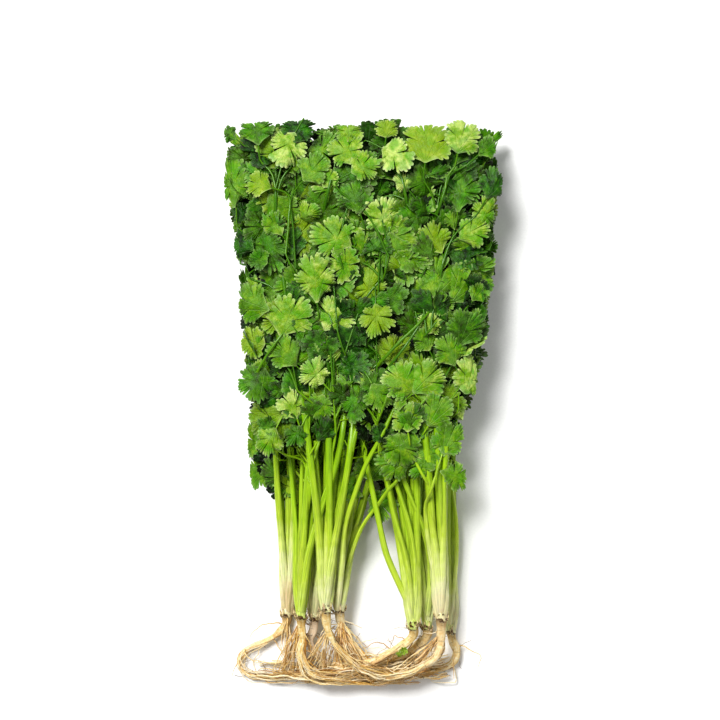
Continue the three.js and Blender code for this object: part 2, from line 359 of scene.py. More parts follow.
# A closed tube along a path. ribs is the share by which its ridges stand out, ribCount how many there
# are, twist their turn in radians a mm, and squash flattens it.
def addTube(pile, path, radii, sides, mood, ribs=0.0, ribCount=7, twist=0.0, squash=1.0):
    n = len(path)
    ahead = np.gradient(path, axis=0)
    ahead /= np.linalg.norm(ahead, axis=1)[:, None] + 1e-12
    across = np.empty_like(path)
    first = np.cross((0, 0, 1), ahead[0])
    if np.linalg.norm(first) < 1e-3:
        first = np.array((1.0, 0, 0))
    across[0] = first / np.linalg.norm(first)
    for i in range(1, n):
        turned = across[i - 1] - ahead[i] * np.dot(across[i - 1], ahead[i])
        across[i] = turned / (np.linalg.norm(turned) + 1e-12)
    up = np.cross(ahead, across)
    turn = np.arange(sides) / sides * 2 * math.pi
    length = np.concatenate([[0], np.cumsum(np.linalg.norm(np.diff(path, axis=0), axis=1))])
    angle = turn[None, :] + twist * length[:, None]
    radius = np.asarray(radii)[:, None] * (1 + ribs * np.cos(ribCount * turn)[None, :])
    c = np.cos(angle) * radius
    s = np.sin(angle) * radius * squash
    ring = path[:, None, :] + across[:, None, :] * c[..., None] + up[:, None, :] * s[..., None]
    points = np.concatenate([ring.reshape(-1, 3), path[:1], path[-1:]])
    i, j = np.meshgrid(np.arange(n - 1), np.arange(sides), indexing="ij")
    a = (i * sides + j).ravel()
    b = (i * sides + (j + 1) % sides).ravel()
    triangles = [np.stack([a, b, b + sides], 1), np.stack([a, b + sides, a + sides], 1)]
    j = np.arange(sides)
    k = (j + 1) % sides
    foot, tip = n * sides, n * sides + 1
    triangles.append(np.stack([np.full(sides, foot), k, j], 1))
    triangles.append(np.stack([np.full(sides, tip), (n - 1) * sides + j, (n - 1) * sides + k], 1))
    lengths = np.repeat(length[:, None], sides, 1)
    place = np.stack([c, s, lengths], 2).reshape(-1, 3)
    place = np.concatenate([place, [[0, 0, 0]], [[0, 0, length[-1]]]])
    mood = np.asarray(mood, float)
    if mood.ndim == 1:
        moods = np.tile(mood, (len(points), 1))
    else:
        moods = np.concatenate([np.repeat(mood, sides, 0), mood[:1], mood[-1:]])
    moods = np.concatenate([moods, np.zeros((len(moods), 1))], 1)
    addToPile(pile, points, np.concatenate(triangles), place, moods)


# Colours are written as sRGB hex and turned linear here.
def linear(hexCode):
    parts = [int(hexCode[i:i + 2], 16) / 255 for i in (1, 3, 5)]
    return tuple(p / 12.92 if p <= 0.04045 else ((p + 0.055) / 1.055) ** 2.4 for p in parts) + (1.0,)


# Stops of a colour ramp: a position with a hex colour, or with a grey from 0 to 1.
def setStops(ramp, stops):
    while len(ramp.elements) > 1:
        ramp.elements.remove(ramp.elements[-1])
    for i, (position, colour) in enumerate(stops):
        stop = ramp.elements[0] if i == 0 else ramp.elements.new(position)
        stop.position = position
        stop.color = linear(colour) if isinstance(colour, str) else (colour, colour, colour, 1)


# Adds a node. Its settings go to its ramp, its properties or its sockets, and its links join sockets to
# the outputs of nodes made before it, written as "node.Output".
def addNode(tree, name, kind, settings, links=None):
    node = tree.nodes.new("ShaderNode" + kind)
    node.name = name
    for key, value in settings.items():
        if key == "stops":
            setStops(node.color_ramp, value)
        elif isinstance(key, str) and hasattr(node, key):
            setattr(node, key, value)
        else:
            node.inputs[key].default_value = value
    for key, source in (links or {}).items():
        giver, output = source.split(".")
        outputs = tree.nodes[giver].outputs
        tree.links.new(outputs[int(output) if output.isdigit() else output], node.inputs[key])


def materialFrom(name, rows):
    material = bpy.data.materials.new(name)
    material.use_nodes = True
    material.node_tree.nodes.clear()
    for nodeName, row in rows.items():
        addNode(material.node_tree, nodeName, *row)
    return material


# Fresh coriander leaf: a thin grown blade under a waxy cuticle. The eye gets a soft sheen, palmate veins
# paler than the blade, a faint quilting between them, painted light on the teeth, painted shade in the
# creases, and a dull paler underside.
leafFinish = {
    # The darkest stops also serve the painted shade drawn on leaves deep in the bunch.
    "tones": [(0.0, "#020b00"), (0.16, "#0c2b00"), (0.34, "#265900"), (0.54, "#4c8104"),
              (0.76, "#7a9e1c"), (1.0, "#b3c66a")],
    "lime": "#8d9c08",
    "vivid": "#3f9100",
    "sage": "#5d9539",
    "vein": "#b2c97c",
    # rim is painted light: the paleness of light through the teeth's thin edges and of highlights on them.
    "rim": "#dde6be",
    "veinSpacing": 0.36,  # radians between the main veins, which fan out from the leaflet's foot
    "veinWidth": 0.3,  # half width, mm; real ones are about 0.2, drawn coarser so that they show
    "sideVeinSpacing": 3.6,  # mm along a main vein
    "sideVeinLean": 1.3,
    "sideVeinShare": 0.45,
    "veinPaleness": 0.2,
    "veinDepth": 0.8,
    "mottle": 0.17,  # noise cells a mm
    "blotch": 0.11,  # hue patches a mm
    "quilt": 0.6,  # bumps a mm, the net of fine veins
    "unevenness": 1.5,
    # creaseShade is painted shade in the creases that run in from the notches.
    "creaseShade": 0.2,
    # tipLight is a painted highlight that pales the leaf towards its teeth.
    "tipLight": 0.07,
    "vividPatches": [(0.5, 0.0), (0.6, 0.62)],
    "sagePatches": [(0.37, 0.55), (0.47, 0.0)],
    "toneDrift": 613.0,  # mm, far enough that no two leaves carry the same patches
    "roughness": 0.34,
    "ior": 1.45,
    "specular": 0.24,
    "glow": {"Subsurface Weight": 0.12, "Subsurface Radius": (0.5, 1.0, 0.2), "Subsurface Scale": 0.0006},
    "bump": {"Strength": 0.6, "Distance": 0.0006},
}


def leafMaterial():
    f = leafFinish
    return materialFrom("freshLeafWaxyCuticle", {
        "place": ("Attribute", {"attribute_name": "place"}),
        "mood": ("Attribute", {"attribute_name": "mood"}),
        "where": ("SeparateXYZ", {}, {0: "place.Vector"}),
        "feel": ("SeparateColor", {}, {0: "mood.Color"}),
        # Polar place on the leaflet, from its foot: the angle picks the vein, the reach runs along it.
        "angle": ("Math", {"operation": "ARCTAN2"}, {0: "where.X", 1: "where.Y"}),
        "acrossSquared": ("Math", {"operation": "MULTIPLY"}, {0: "where.X", 1: "where.X"}),
        "upSquared": ("Math", {"operation": "MULTIPLY"}, {0: "where.Y", 1: "where.Y"}),
        "reachSquared": ("Math", {"operation": "ADD"}, {0: "acrossSquared.Value", 1: "upSquared.Value"}),
        "reach": ("Math", {"operation": "SQRT"}, {0: "reachSquared.Value"}),
        # A pingpong is 0 on every second multiple, so the main veins are veinSpacing apart.
        "nearest": ("Math", {"operation": "PINGPONG", 1: f["veinSpacing"] / 2}, {0: "angle.Value"}),
        "fromVein": ("Math", {"operation": "MULTIPLY"}, {0: "nearest.Value", 1: "reach.Value"}),
        "aside": ("Math", {"operation": "DIVIDE", 1: f["veinWidth"]}, {0: "fromVein.Value"}),
        "mainVein": ("Math", {"operation": "SUBTRACT", 0: 1, "use_clamp": True}, {1: "aside.Value"}),
        "lean": ("Math", {"operation": "MULTIPLY", 1: f["sideVeinLean"]}, {0: "fromVein.Value"}),
        "slanted": ("Math", {"operation": "SUBTRACT"}, {0: "reach.Value", 1: "lean.Value"}),
        "sideStep": ("Math", {"operation": "PINGPONG", 1: f["sideVeinSpacing"] / 2},
                     {0: "slanted.Value"}),
        "sideAside": ("Math", {"operation": "DIVIDE", 1: f["veinWidth"]}, {0: "sideStep.Value"}),
        "sideVein": ("Math", {"operation": "SUBTRACT", 0: 1, "use_clamp": True}, {1: "sideAside.Value"}),
        "faintVein": ("Math", {"operation": "MULTIPLY", 1: f["sideVeinShare"]}, {0: "sideVein.Value"}),
        "veins": ("Math", {"operation": "MAXIMUM"}, {0: "mainVein.Value", 1: "faintVein.Value"}),
        # Each leaf's own tone also moves the patterns.
        "drift": ("Math", {"operation": "MULTIPLY", 1: f["toneDrift"]}, {0: "feel.Red"}),
        "driftXyz": ("CombineXYZ", {}, {0: "drift.Value", 1: "drift.Value"}),
        "moved": ("VectorMath", {"operation": "ADD"}, {0: "place.Vector", 1: "driftXyz.Vector"}),
        "mottle": ("TexNoise", {"Scale": f["mottle"], "Detail": 5.0, "Roughness": 0.7},
                   {"Vector": "moved.Vector"}),
        "blotch": ("TexNoise", {"Scale": f["blotch"], "Detail": 2.0}, {"Vector": "moved.Vector"}),
        "quilt": ("TexVoronoi", {"Scale": f["quilt"]}, {"Vector": "moved.Vector"}),
        # Lightness: the leaf's own, mottled, with a painted highlight at the teeth and painted shade in the
        # creases.
        "middled": ("Math", {"operation": "SUBTRACT", 1: 0.5}, {0: "mottle.Fac"}),
        "uneven": ("Math", {"operation": "MULTIPLY", 1: f["unevenness"]}, {0: "middled.Value"}),
        "nearTip": ("Math", {"operation": "POWER", 1: 5.0}, {0: "where.Z"}),
        "tipLight": ("Math", {"operation": "MULTIPLY", 1: f["tipLight"]}, {0: "nearTip.Value"}),
        "shift": ("Math", {"operation": "ADD"}, {0: "uneven.Value", 1: "tipLight.Value"}),
        "mottled": ("Math", {"operation": "ADD"}, {0: "feel.Red", 1: "shift.Value"}),
        # Painted shade along the notch creases.
        "crease": ("Math", {"operation": "MULTIPLY", 1: f["creaseShade"]}, {0: "mood.Alpha"}),
        "tone": ("Math", {"operation": "SUBTRACT"}, {0: "mottled.Value", 1: "crease.Value"}),
        "blade": ("ValToRGB", {"stops": f["tones"]}, {"Fac": "tone.Value"}),
        # Patches of stronger green and of cooler sage inside one blade.
        "vividPatch": ("ValToRGB", {"stops": f["vividPatches"]}, {"Fac": "blotch.Fac"}),
        "sagePatch": ("ValToRGB", {"stops": f["sagePatches"]}, {"Fac": "blotch.Fac"}),
        "lightEnough": ("Math", {"operation": "MULTIPLY", 1: 1.6, "use_clamp": True}, {0: "feel.Red"}),
        "vividShare": ("Math", {"operation": "MULTIPLY"},
                       {0: "vividPatch.Color", 1: "lightEnough.Value"}),
        "vivid": ("Mix", {"data_type": "RGBA", 7: linear(f["vivid"])},
                  {0: "vividShare.Value", 6: "blade.Color"}),
        "sageShare": ("Math", {"operation": "MULTIPLY"}, {0: "sagePatch.Color", 1: "lightEnough.Value"}),
        "sage": ("Mix", {"data_type": "RGBA", 7: linear(f["sage"])},
                 {0: "sageShare.Value", 6: "vivid.2"}),
        "limed": ("Mix", {"data_type": "RGBA", 7: linear(f["lime"])}, {0: "feel.Green", 6: "sage.2"}),
        "paleness": ("Math", {"operation": "MULTIPLY", 1: f["veinPaleness"]}, {0: "lightEnough.Value"}),
        "veinShare": ("Math", {"operation": "MULTIPLY"}, {0: "veins.Value", 1: "paleness.Value"}),
        "veined": ("Mix", {"data_type": "RGBA", 7: linear(f["vein"])},
                   {0: "veinShare.Value", 6: "limed.2"}),
        # Painted light: the thin edge of the teeth is painted paler, for the light that shines through it
        # and the highlights on it.
        "thin": ("Math", {"operation": "POWER", 1: 11.0}, {0: "where.Z"}),
        "broken": ("Math", {"operation": "MULTIPLY", 1: 0.8}, {0: "mottle.Fac"}),
        "edge": ("Math", {"operation": "MULTIPLY"}, {0: "thin.Value", 1: "broken.Value"}),
        "edgeShare": ("Math", {"operation": "MULTIPLY"}, {0: "edge.Value", 1: "feel.Red"}),
        "edged": ("Mix", {"data_type": "RGBA", 7: linear(f["rim"])},
                  {0: "edgeShare.Value", 6: "veined.2"}),
        # The underside is paler and greyer.
        "under": ("HueSaturation", {"Saturation": 0.72, "Value": 1.3},
                  {"Color": "edged.2", "Fac": "feel.Blue"}),
        "dullMottle": ("Math", {"operation": "MULTIPLY", 1: 0.22}, {0: "mottle.Fac"}),
        "rough": ("Math", {"operation": "ADD", 0: f["roughness"]}, {1: "dullMottle.Value"}),
        "dullUnder": ("Math", {"operation": "MULTIPLY", 1: 0.2}, {0: "feel.Blue"}),
        "rougher": ("Math", {"operation": "ADD"}, {0: "rough.Value", 1: "dullUnder.Value"}),
        "quilting": ("Math", {"operation": "MULTIPLY", 1: 0.5}, {0: "quilt.Distance"}),
        "swelling": ("Math", {"operation": "MULTIPLY", 1: 2.5}, {0: "mottle.Fac"}),
        "swell": ("Math", {"operation": "ADD"}, {0: "quilting.Value", 1: "swelling.Value"}),
        "sunk": ("Math", {"operation": "MULTIPLY", 1: f["veinDepth"]}, {0: "veins.Value"}),
        "height": ("Math", {"operation": "SUBTRACT"}, {0: "swell.Value", 1: "sunk.Value"}),
        "bump": ("Bump", f["bump"], {"Height": "height.Value"}),
        "shader": ("BsdfPrincipled", {"IOR": f["ior"], "Specular IOR Level": f["specular"], **f["glow"]},
                   {"Base Color": "under.Color", "Roughness": "rougher.Value", "Normal": "bump.Normal"}),
        "out": ("OutputMaterial", {}, {"Surface": "shader.BSDF"}),
    })


# Fresh herb stalk: grown, ribbed and juicy. The eye gets a moist gloss, long pale and dark fibres, and a
# colour that runs from cream at the crown through lime to leaf green, with brown scars where old leaves
# broke off.
stalkFinish = {
    "lengthwise": [(0.0, "#dcc497"), (0.05, "#e8dbac"), (0.12, "#e9e8b2"), (0.22, "#d9e486"),
                   (0.36, "#bed444"), (0.6, "#a2c81e"), (0.82, "#76a60a"), (1.0, "#427508")],
    "shade": "#3f6404",
    "fibreScale": 1.9,  # streaks a mm round the stalk
    "fibreStretch": 0.035,
    "streaks": [(0.38, 0.0), (0.66, 1.0)],
    "cloudScale": 0.16,  # paler and greener lengths, cells a mm
    "cloudReach": 0.22,
    "scar": "#47290b",
    "scarScale": 0.42,  # flecks a mm
    "scarEdges": [(0.46, 0.0), (0.54, 1.0)],
    "roughness": 0.2,  # of the wettest fibre
    "fibreRoughness": 0.25,
    "ior": 1.42,
    "specular": 0.5,
    "glow": {"Subsurface Weight": 0.2, "Subsurface Radius": (0.8, 1.0, 0.3), "Subsurface Scale": 0.0012},
    "bump": {"Strength": 0.35, "Distance": 0.0003},
}


def stalkMaterial():
    f = stalkFinish
    cloud = {"operation": "MULTIPLY_ADD", 1: f["cloudReach"], 2: -f["cloudReach"] / 2}
    return materialFrom("freshStalkRibbedMoist", {
        "place": ("Attribute", {"attribute_name": "place"}),
        "mood": ("Attribute", {"attribute_name": "mood"}),
        "feel": ("SeparateXYZ", {}, {0: "mood.Vector"}),
        "long": ("VectorMath", {"operation": "MULTIPLY", 1: (1, 1, f["fibreStretch"])},
                 {0: "place.Vector"}),
        "fibre": ("TexNoise", {"Scale": f["fibreScale"], "Detail": 4.0, "Roughness": 0.65},
                  {"Vector": "long.Vector"}),
        "cloud": ("TexNoise", {"Scale": f["cloudScale"], "Detail": 2.0}, {"Vector": "place.Vector"}),
        "cloudShift": ("Math", cloud, {0: "cloud.Fac"}),
        "run": ("Math", {"operation": "ADD"}, {0: "feel.X", 1: "cloudShift.Value"}),
        "base": ("ValToRGB", {"stops": f["lengthwise"]}, {"Fac": "run.Value"}),
        "streak": ("ValToRGB", {"stops": f["streaks"]}, {"Fac": "fibre.Fac"}),
        "greening": ("Math", {"operation": "MULTIPLY"}, {0: "streak.Color", 1: "feel.Y"}),
        "streaked": ("Mix", {"data_type": "RGBA", 7: linear(f["shade"])},
                     {0: "greening.Value", 6: "base.Color"}),
        "scarNoise": ("TexNoise", {"Scale": f["scarScale"], "Detail": 3.0}, {"Vector": "place.Vector"}),
        "scarEdge": ("ValToRGB", {"stops": f["scarEdges"]}, {"Fac": "scarNoise.Fac"}),
        "scarShare": ("Math", {"operation": "MULTIPLY", "use_clamp": True},
                      {0: "scarEdge.Color", 1: "feel.Z"}),
        "scarred": ("Mix", {"data_type": "RGBA", 7: linear(f["scar"])},
                    {0: "scarShare.Value", 6: "streaked.2"}),
        "rough": ("Math", {"operation": "MULTIPLY_ADD", 1: f["fibreRoughness"], 2: f["roughness"]},
                  {0: "fibre.Fac"}),
        "bump": ("Bump", f["bump"], {"Height": "fibre.Fac"}),
        "shader": ("BsdfPrincipled", {"IOR": f["ior"], "Specular IOR Level": f["specular"], **f["glow"]},
                   {"Base Color": "scarred.2", "Roughness": "rough.Value", "Normal": "bump.Normal"}),
        "out": ("OutputMaterial", {}, {"Surface": "shader.BSDF"}),
    })


# Washed taproot skin: grown in soil, rinsed and dry again. The eye gets a dull tan with darker soil left
# in the creases, fine rings across the root, and near-white new tips.
rootFinish = {
    "tones": [(0.0, "#744409"), (0.25, "#b47f2b"), (0.5, "#dcb566"), (0.75, "#eed89e"), (1.0, "#f8eed2")],
    "pink": "#f2dccb",
    "soil": "#3d260c",
    "fibreScale": 1.5,  # ridges a mm round the root; they run far along it
    "fibreStretch": (1.0, 1.0, 0.09),
    "creaseScale": 0.4,  # creases a mm along the root
    "creaseStretch": (0.35, 0.35, 1.0),
    "soiledCreases": [(0.3, 0.7), (0.44, 0.0)],
    "speckScale": 0.35,
    "unevenness": 1.1,
    "roughness": 0.68,
    "ior": 1.45,
    "bump": {"Strength": 0.8, "Distance": 0.0008},
}


def rootMaterial():
    f = rootFinish
    uneven = {"operation": "MULTIPLY_ADD", 1: f["unevenness"], 2: -f["unevenness"]}
    return materialFrom("washedTaprootSkin", {
        "place": ("Attribute", {"attribute_name": "place"}),
        "mood": ("Attribute", {"attribute_name": "mood"}),
        "feel": ("SeparateXYZ", {}, {0: "mood.Vector"}),
        "long": ("VectorMath", {"operation": "MULTIPLY", 1: f["fibreStretch"]}, {0: "place.Vector"}),
        "fibre": ("TexNoise", {"Scale": f["fibreScale"], "Detail": 4.0, "Roughness": 0.7},
                  {"Vector": "long.Vector"}),
        "ringed": ("VectorMath", {"operation": "MULTIPLY", 1: f["creaseStretch"]}, {0: "place.Vector"}),
        "crease": ("TexNoise", {"Scale": f["creaseScale"], "Detail": 3.0, "Roughness": 0.7},
                   {"Vector": "ringed.Vector"}),
        "speck": ("TexNoise", {"Scale": f["speckScale"], "Detail": 4.0, "Roughness": 0.6},
                  {"Vector": "place.Vector"}),
        "mixed": ("Math", {"operation": "ADD"}, {0: "speck.Fac", 1: "fibre.Fac"}),
        "shift": ("Math", uneven, {0: "mixed.Value"}),
        "tone": ("Math", {"operation": "ADD"}, {0: "feel.X", 1: "shift.Value"}),
        "skin": ("ValToRGB", {"stops": f["tones"]}, {"Fac": "tone.Value"}),
        "pinked": ("Mix", {"data_type": "RGBA", 7: linear(f["pink"])}, {0: "feel.Y", 6: "skin.Color"}),
        "dirt": ("ValToRGB", {"stops": f["soiledCreases"]}, {"Fac": "crease.Fac"}),
        "soil": ("Math", {"operation": "MAXIMUM"}, {0: "dirt.Color", 1: "feel.Z"}),
        "dirty": ("Mix", {"data_type": "RGBA", 7: linear(f["soil"])}, {0: "soil.Value", 6: "pinked.2"}),
        "bump": ("Bump", f["bump"], {"Height": "mixed.Value"}),
        "shader": ("BsdfPrincipled", {"Roughness": f["roughness"], "IOR": f["ior"]},
                   {"Base Color": "dirty.2", "Normal": "bump.Normal"}),
        "out": ("OutputMaterial", {}, {"Surface": "shader.BSDF"}),
    })


# Leaflet shapes, in lengths of the leaflet: the heart is the point that the lobes spread from, and each
# lobe is (centre and half width in degrees from the tip, reach from the heart, teeth).
leafKinds = {
    "fan": {
        "heart": 0.38, "sinus": 0.5, "toothDepth": 0.14, "roundness": 0.16,
        "lobes": [(-84, 27, 0.5, 4), (-29, 27, 0.6, 5), (28, 28, 0.6, 5), (84, 27, 0.5, 4)],
    },
    "crenate": {
        "heart": 0.35, "sinus": 0.56, "toothDepth": 0.13, "roundness": 0.15,
        "lobes": [(-106, 32, 0.44, 5), (-40, 33, 0.53, 6), (30, 36, 0.57, 6), (102, 34, 0.47, 5)],
    },
    "star": {
        "heart": 0.35, "sinus": 0.4, "toothDepth": 0.17, "roundness": 0.2,
        "lobes": [(-124, 23, 0.42, 3), (-72, 27, 0.54, 5), (-10, 33, 0.6, 6), (52, 27, 0.56, 5),
                  (110, 27, 0.46, 4)],
    },
    "cleft": {
        "heart": 0.33, "sinus": 0.32, "toothDepth": 0.15, "roundness": 0.2,
        "lobes": [(-94, 38, 0.5, 6), (-8, 44, 0.64, 7), (82, 42, 0.52, 7)],
    },
    "ovate": {
        "heart": 0.4, "sinus": 0.52, "toothDepth": 0.15, "roundness": 0.14,
        "lobes": [(-120, 22, 0.36, 3), (-68, 28, 0.42, 5), (0, 38, 0.6, 7), (68, 28, 0.42, 5),
                  (122, 22, 0.36, 3)],
    },
}
leafVariants = 6
leafThickness = 0.28
leafEdge = {
    "uneven": 0.05,  # spread of the lobes' and the teeth's reach
    "sinusUneven": 0.1,
    "toothDepths": (0.6, 1.5),  # shares of the kind's depth: the least, and what the rare deep notches add
    "toothBlunt": 0.6,  # power of the sine that rounds a tooth
    "notchNear": 0.45,
    "notchFall": 1.6,
    "warp": 0.1,  # radians by which the lobes crowd to one side
    "foot": 0.025,  # half width of the leaflet's foot
}
# samples are where each tooth's points lie, rings the shares of the way from the heart to the edge.
leafDetails = {
    "fine": {"samples": (0.0, 0.13, 0.37, 0.63, 0.87), "rings": (0.5, 0.8, 1.0)},
    "middle": {"samples": (0.0, 0.18, 0.5, 0.82), "rings": (0.62, 1.0)},
    "plain": {"samples": (0.0, 0.25, 0.7), "rings": (0.6, 1.0)},
}


# The outline runs from the foot up the left side, over the toothed lobes and down the right side to the
# foot. With each point go its nearness to a notch and to the edge of its lobe.
def leafletOutline(kind, samples, draw):
    shape = leafKinds[kind]
    e = leafEdge
    least, more = e["toothDepths"]
    turns, reaches, notches, dips = [], [], [], []
    for k, (centre, halfWidth, reach, teeth) in enumerate(shape["lobes"]):
        reach *= 1 + draw.normal(0, e["uneven"])
        depths = shape["toothDepth"] * (least + more * draw.uniform(0, 1, teeth + 1) ** 3)
        for tooth in range(teeth):
            stretch = 1 + draw.normal(0, e["uneven"])
            for t in samples:
                turn = centre - halfWidth + (tooth + t) * 2 * halfWidth / teeth
                aside = (turn - centre) / halfWidth
                envelope = reach * stretch * (1 - shape["roundness"] * aside * aside)
                crest = math.sin(math.pi * t) ** e["toothBlunt"] if t > 0 else 0.0
                cut = 1 - depths[tooth + (t > 0.5)] * (1 - crest)
                if t == 0 and tooth == 0 and k > 0:
                    cut = shape["sinus"] * (1 + draw.normal(0, e["sinusUneven"]))
                turns.append(turn)
                reaches.append(envelope * cut)
                notches.append(1.0 if t == 0 else max(0.0, e["notchNear"] - e["notchFall"] * min(t, 1 - t)))
                dips.append(aside * aside)
    centre, halfWidth, reach, _ = shape["lobes"][-1]
    turns.append(centre + halfWidth)
    reaches.append(reach * (1 - shape["roundness"]) * (1 - shape["toothDepth"]))
    turns = np.radians(turns)
    turns = turns + e["warp"] * np.sin(turns * 2 + draw.uniform(0, 6))
    toothed = np.stack([np.sin(turns) * reaches, shape["heart"] + np.cos(turns) * reaches], 1)
    foot = e["foot"]
    left, right = toothed[0], toothed[-1]
    upLeft = [(mix(-foot, left[0], s), mix(0, left[1], s**0.8)) for s in (0.35, 0.72)]
    downRight = [(mix(foot, right[0], s), mix(0, right[1], s**0.8)) for s in (0.72, 0.35)]
    outline = np.concatenate([[(-foot, 0)], upLeft, toothed, downRight, [(foot, 0)]])
    notch = np.array([0, 0, 0, *notches, 0.5, 0, 0, 0])
    dip = np.array([0, 0, 0.5, *dips, 1, 0.5, 0, 0])
    return outline, notch, dip


# Flat leaflet of unit length as triangles on both faces with a thin edge between them.
def leafletTemplate(kind, variant, detail):
    draw = np.random.default_rng(sorted(leafKinds).index(kind) * 10 + variant)
    outline, notch, dip = leafletOutline(kind, detail["samples"], draw)
    heart = np.array((0, leafKinds[kind]["heart"]))
    n = len(outline)
    rings = [heart + (outline - heart) * share for share in detail["rings"]]
    flat = np.concatenate([[heart], *rings])
    share = np.concatenate([[0], *[np.full(n, s) for s in detail["rings"]]])
    notch = np.concatenate([[0], *[notch * s ** 9 for s in detail["rings"]]])
    dip = np.concatenate([[0], *[dip * s * s for s in detail["rings"]]])
    j = np.arange(n)
    k = (j + 1) % n
    faces = [np.stack([np.zeros(n, int), k + 1, j + 1], 1)]
    for ring in range(len(rings) - 1):
        a, b = 1 + ring * n, 1 + (ring + 1) * n
        faces.append(np.stack([a + j, a + k, b + k], 1))
        faces.append(np.stack([a + j, b + k, b + j], 1))
    face = np.concatenate(faces)
    count = len(flat)
    outer = 1 + (len(rings) - 1) * n
    walls = [np.stack([outer + j, outer + k, count + outer + k], 1),
             np.stack([outer + j, count + outer + k, count + outer + j], 1)]
    triangles = np.concatenate([face, face[:, ::-1] + count, *walls])
    u, v = flat[:, 0], flat[:, 1]
    return {"u": u, "v": v, "share": share, "notch": notch, "dip": dip, "triangles": triangles}


templates = {
    (kind, variant, detail): leafletTemplate(kind, variant, leafDetails[detail])
    for kind in leafKinds for variant in range(leafVariants) for detail in leafDetails
}


# How a leaflet is folded, bent and cupped, from its number; a spread of 0 leaves it nearly flat.
def leafMood(number, spread):
    return {
        "fold": swing(number + 0.61, 0.45) * spread,
        "arch": swing(number + 0.62, 0.022) * spread,
        "ripple": (0.5 + chance(number + 0.63)) * (0.55 + 0.45 * spread),
        "cup": swing(number + 0.64, 2.2) * spread,
        "pitch": swing(number + 0.65, 0.24) * spread,
        "roll": swing(number + 0.66, 0.3) * spread,
        "crease": 0.1 + 0.25 * chance(number + 0.67),
        "lobeDip": mix(-1.0, 2.2, chance(number + 0.68)),
    }


leafLimits = {
    "sideOver": 4,  # mm past leafWidthAt, give or take sideDraw
    "sideDraw": 3.5,
    "sideGive": 8,
    "tipDraw": 3,
    "tipGive": 9,
    "lidGive": 2.5,
    "openLid": 99,
    "pressFrom": (-84, -60),  # the stretch over which press is asked for
    "pressTo": (84, 162),
}


# One leaflet, shaped in its own frame, turned to its heading, and laid along the pillow's surface at its
# level. level is its full height before press, place its foot (x, y), colour its lightness and lime.
def addLeaflet(pile, place, level, heading, length, kind, colour, number, detail, pose):
    k = leafLimits
    template = templates[(kind, int(chance(number + 0.7) * leafVariants), detail)]
    u = template["u"] * length
    v = template["v"] * length
    if chance(number + 0.71) < 0.5:
        u = -u
    share = template["share"]
    spin = np.arctan2(u, v + 0.1)
    rho = share * share
    z = pose["cup"] * rho
    z = z + pose["ripple"] * np.sin(5 * spin + chance(number + 0.72) * 6.28) * rho * share
    z = z + pose["ripple"] * 0.5 * np.sin(11 * spin + chance(number + 0.73) * 6.28) * rho * rho
    z = z - pose["crease"] * template["notch"] - pose["lobeDip"] * template["dip"]
    bend = pose["arch"] if abs(pose["arch"]) > 1e-4 else 1e-4
    forward = np.sin(v * bend) / bend
    z = z + (1 - np.cos(v * bend)) / bend
    aside = u * math.cos(pose["fold"])
    z = z + np.abs(u) * math.sin(pose["fold"])
    cosRoll, sinRoll = math.cos(pose["roll"]), math.sin(pose["roll"])
    aside, z = aside * cosRoll - z * sinRoll, aside * sinRoll + z * cosRoll
    cosPitch, sinPitch = math.cos(pose["pitch"]), math.sin(pose["pitch"])
    forward, z = forward * cosPitch - z * sinPitch, forward * sinPitch + z * cosPitch
    x = place[0] + aside * math.cos(heading) + forward * math.sin(heading)
    y = place[1] - aside * math.sin(heading) + forward * math.cos(heading)
    limit = leafWidthAt(place[1], place[0]) + k["sideOver"] + swing(number + 0.75, k["sideDraw"])
    x = np.sign(x) * pressedFlat(np.abs(x), limit, k["sideGive"])
    y = pressedFlat(y, layout["tipLimitY"] + swing(number + 0.76, k["tipDraw"]), k["tipGive"])
    (lowX, lowY), (highX, highY) = k["pressFrom"], k["pressTo"]
    pressed = press(np.clip(x, lowX, highX), np.clip(y, lowY, highY))
    lid = np.minimum(layout["lidZ"], pose.get("lid", k["openLid"]) * pressed)
    z = pressedFlat(z + level * pressed, lid, k["lidGive"])
    top = np.stack([x, y, z + leafThickness], 1)
    bottom = np.stack([x, y, z], 1)
    floorZ = 0.1 + 0.5 * chance(number + 0.74)
    top[:, 2] = np.maximum(top[:, 2], floorZ + leafThickness)
    bottom[:, 2] = np.maximum(bottom[:, 2], floorZ)
    triangles = template["triangles"]
    if u[1] > 0:
        triangles = triangles[:, ::-1]
    spots = np.stack([template["u"] * length, template["v"] * length, share], 1)
    moodTop = np.tile((*colour, 0.0, 0.0), (len(x), 1))
    # The alpha carries the notch creases, for their painted shade.
    moodTop[:, 3] = template["notch"]
    moodBottom = np.tile((*colour, 1.0, 0.0), (len(x), 1))
    addToPile(pile, np.concatenate([top, bottom]), triangles,
              np.concatenate([spots, spots]), np.concatenate([moodTop, moodBottom]))


# Tones of a leaf by name: lightness, and how far it turns to lime.
tones = {
    "deep": (0.24, 0.0),
    "mid": (0.4, 0.06),
    "fresh": (0.54, 0.12),
    "light": (0.7, 0.14),
    "lime": (0.64, 0.42),
    "pale": (0.88, 0.04),
}
toneDraw = ["deep", "deep", "mid", "mid", "mid", "fresh", "fresh", "light", "lime", "pale"]


# darker is painted shade: it lowers the tone of leaves that lie deep in the bunch.
def drawTone(number, darker=0.0):
    name = toneDraw[int(chance(number + 0.8) * len(toneDraw))]
    tone, lime = tones[name]
    tone += swing(number + 0.81, 0.09)
    return max(0.02, tone - darker), max(0.0, lime + swing(number + 0.82, 0.06))


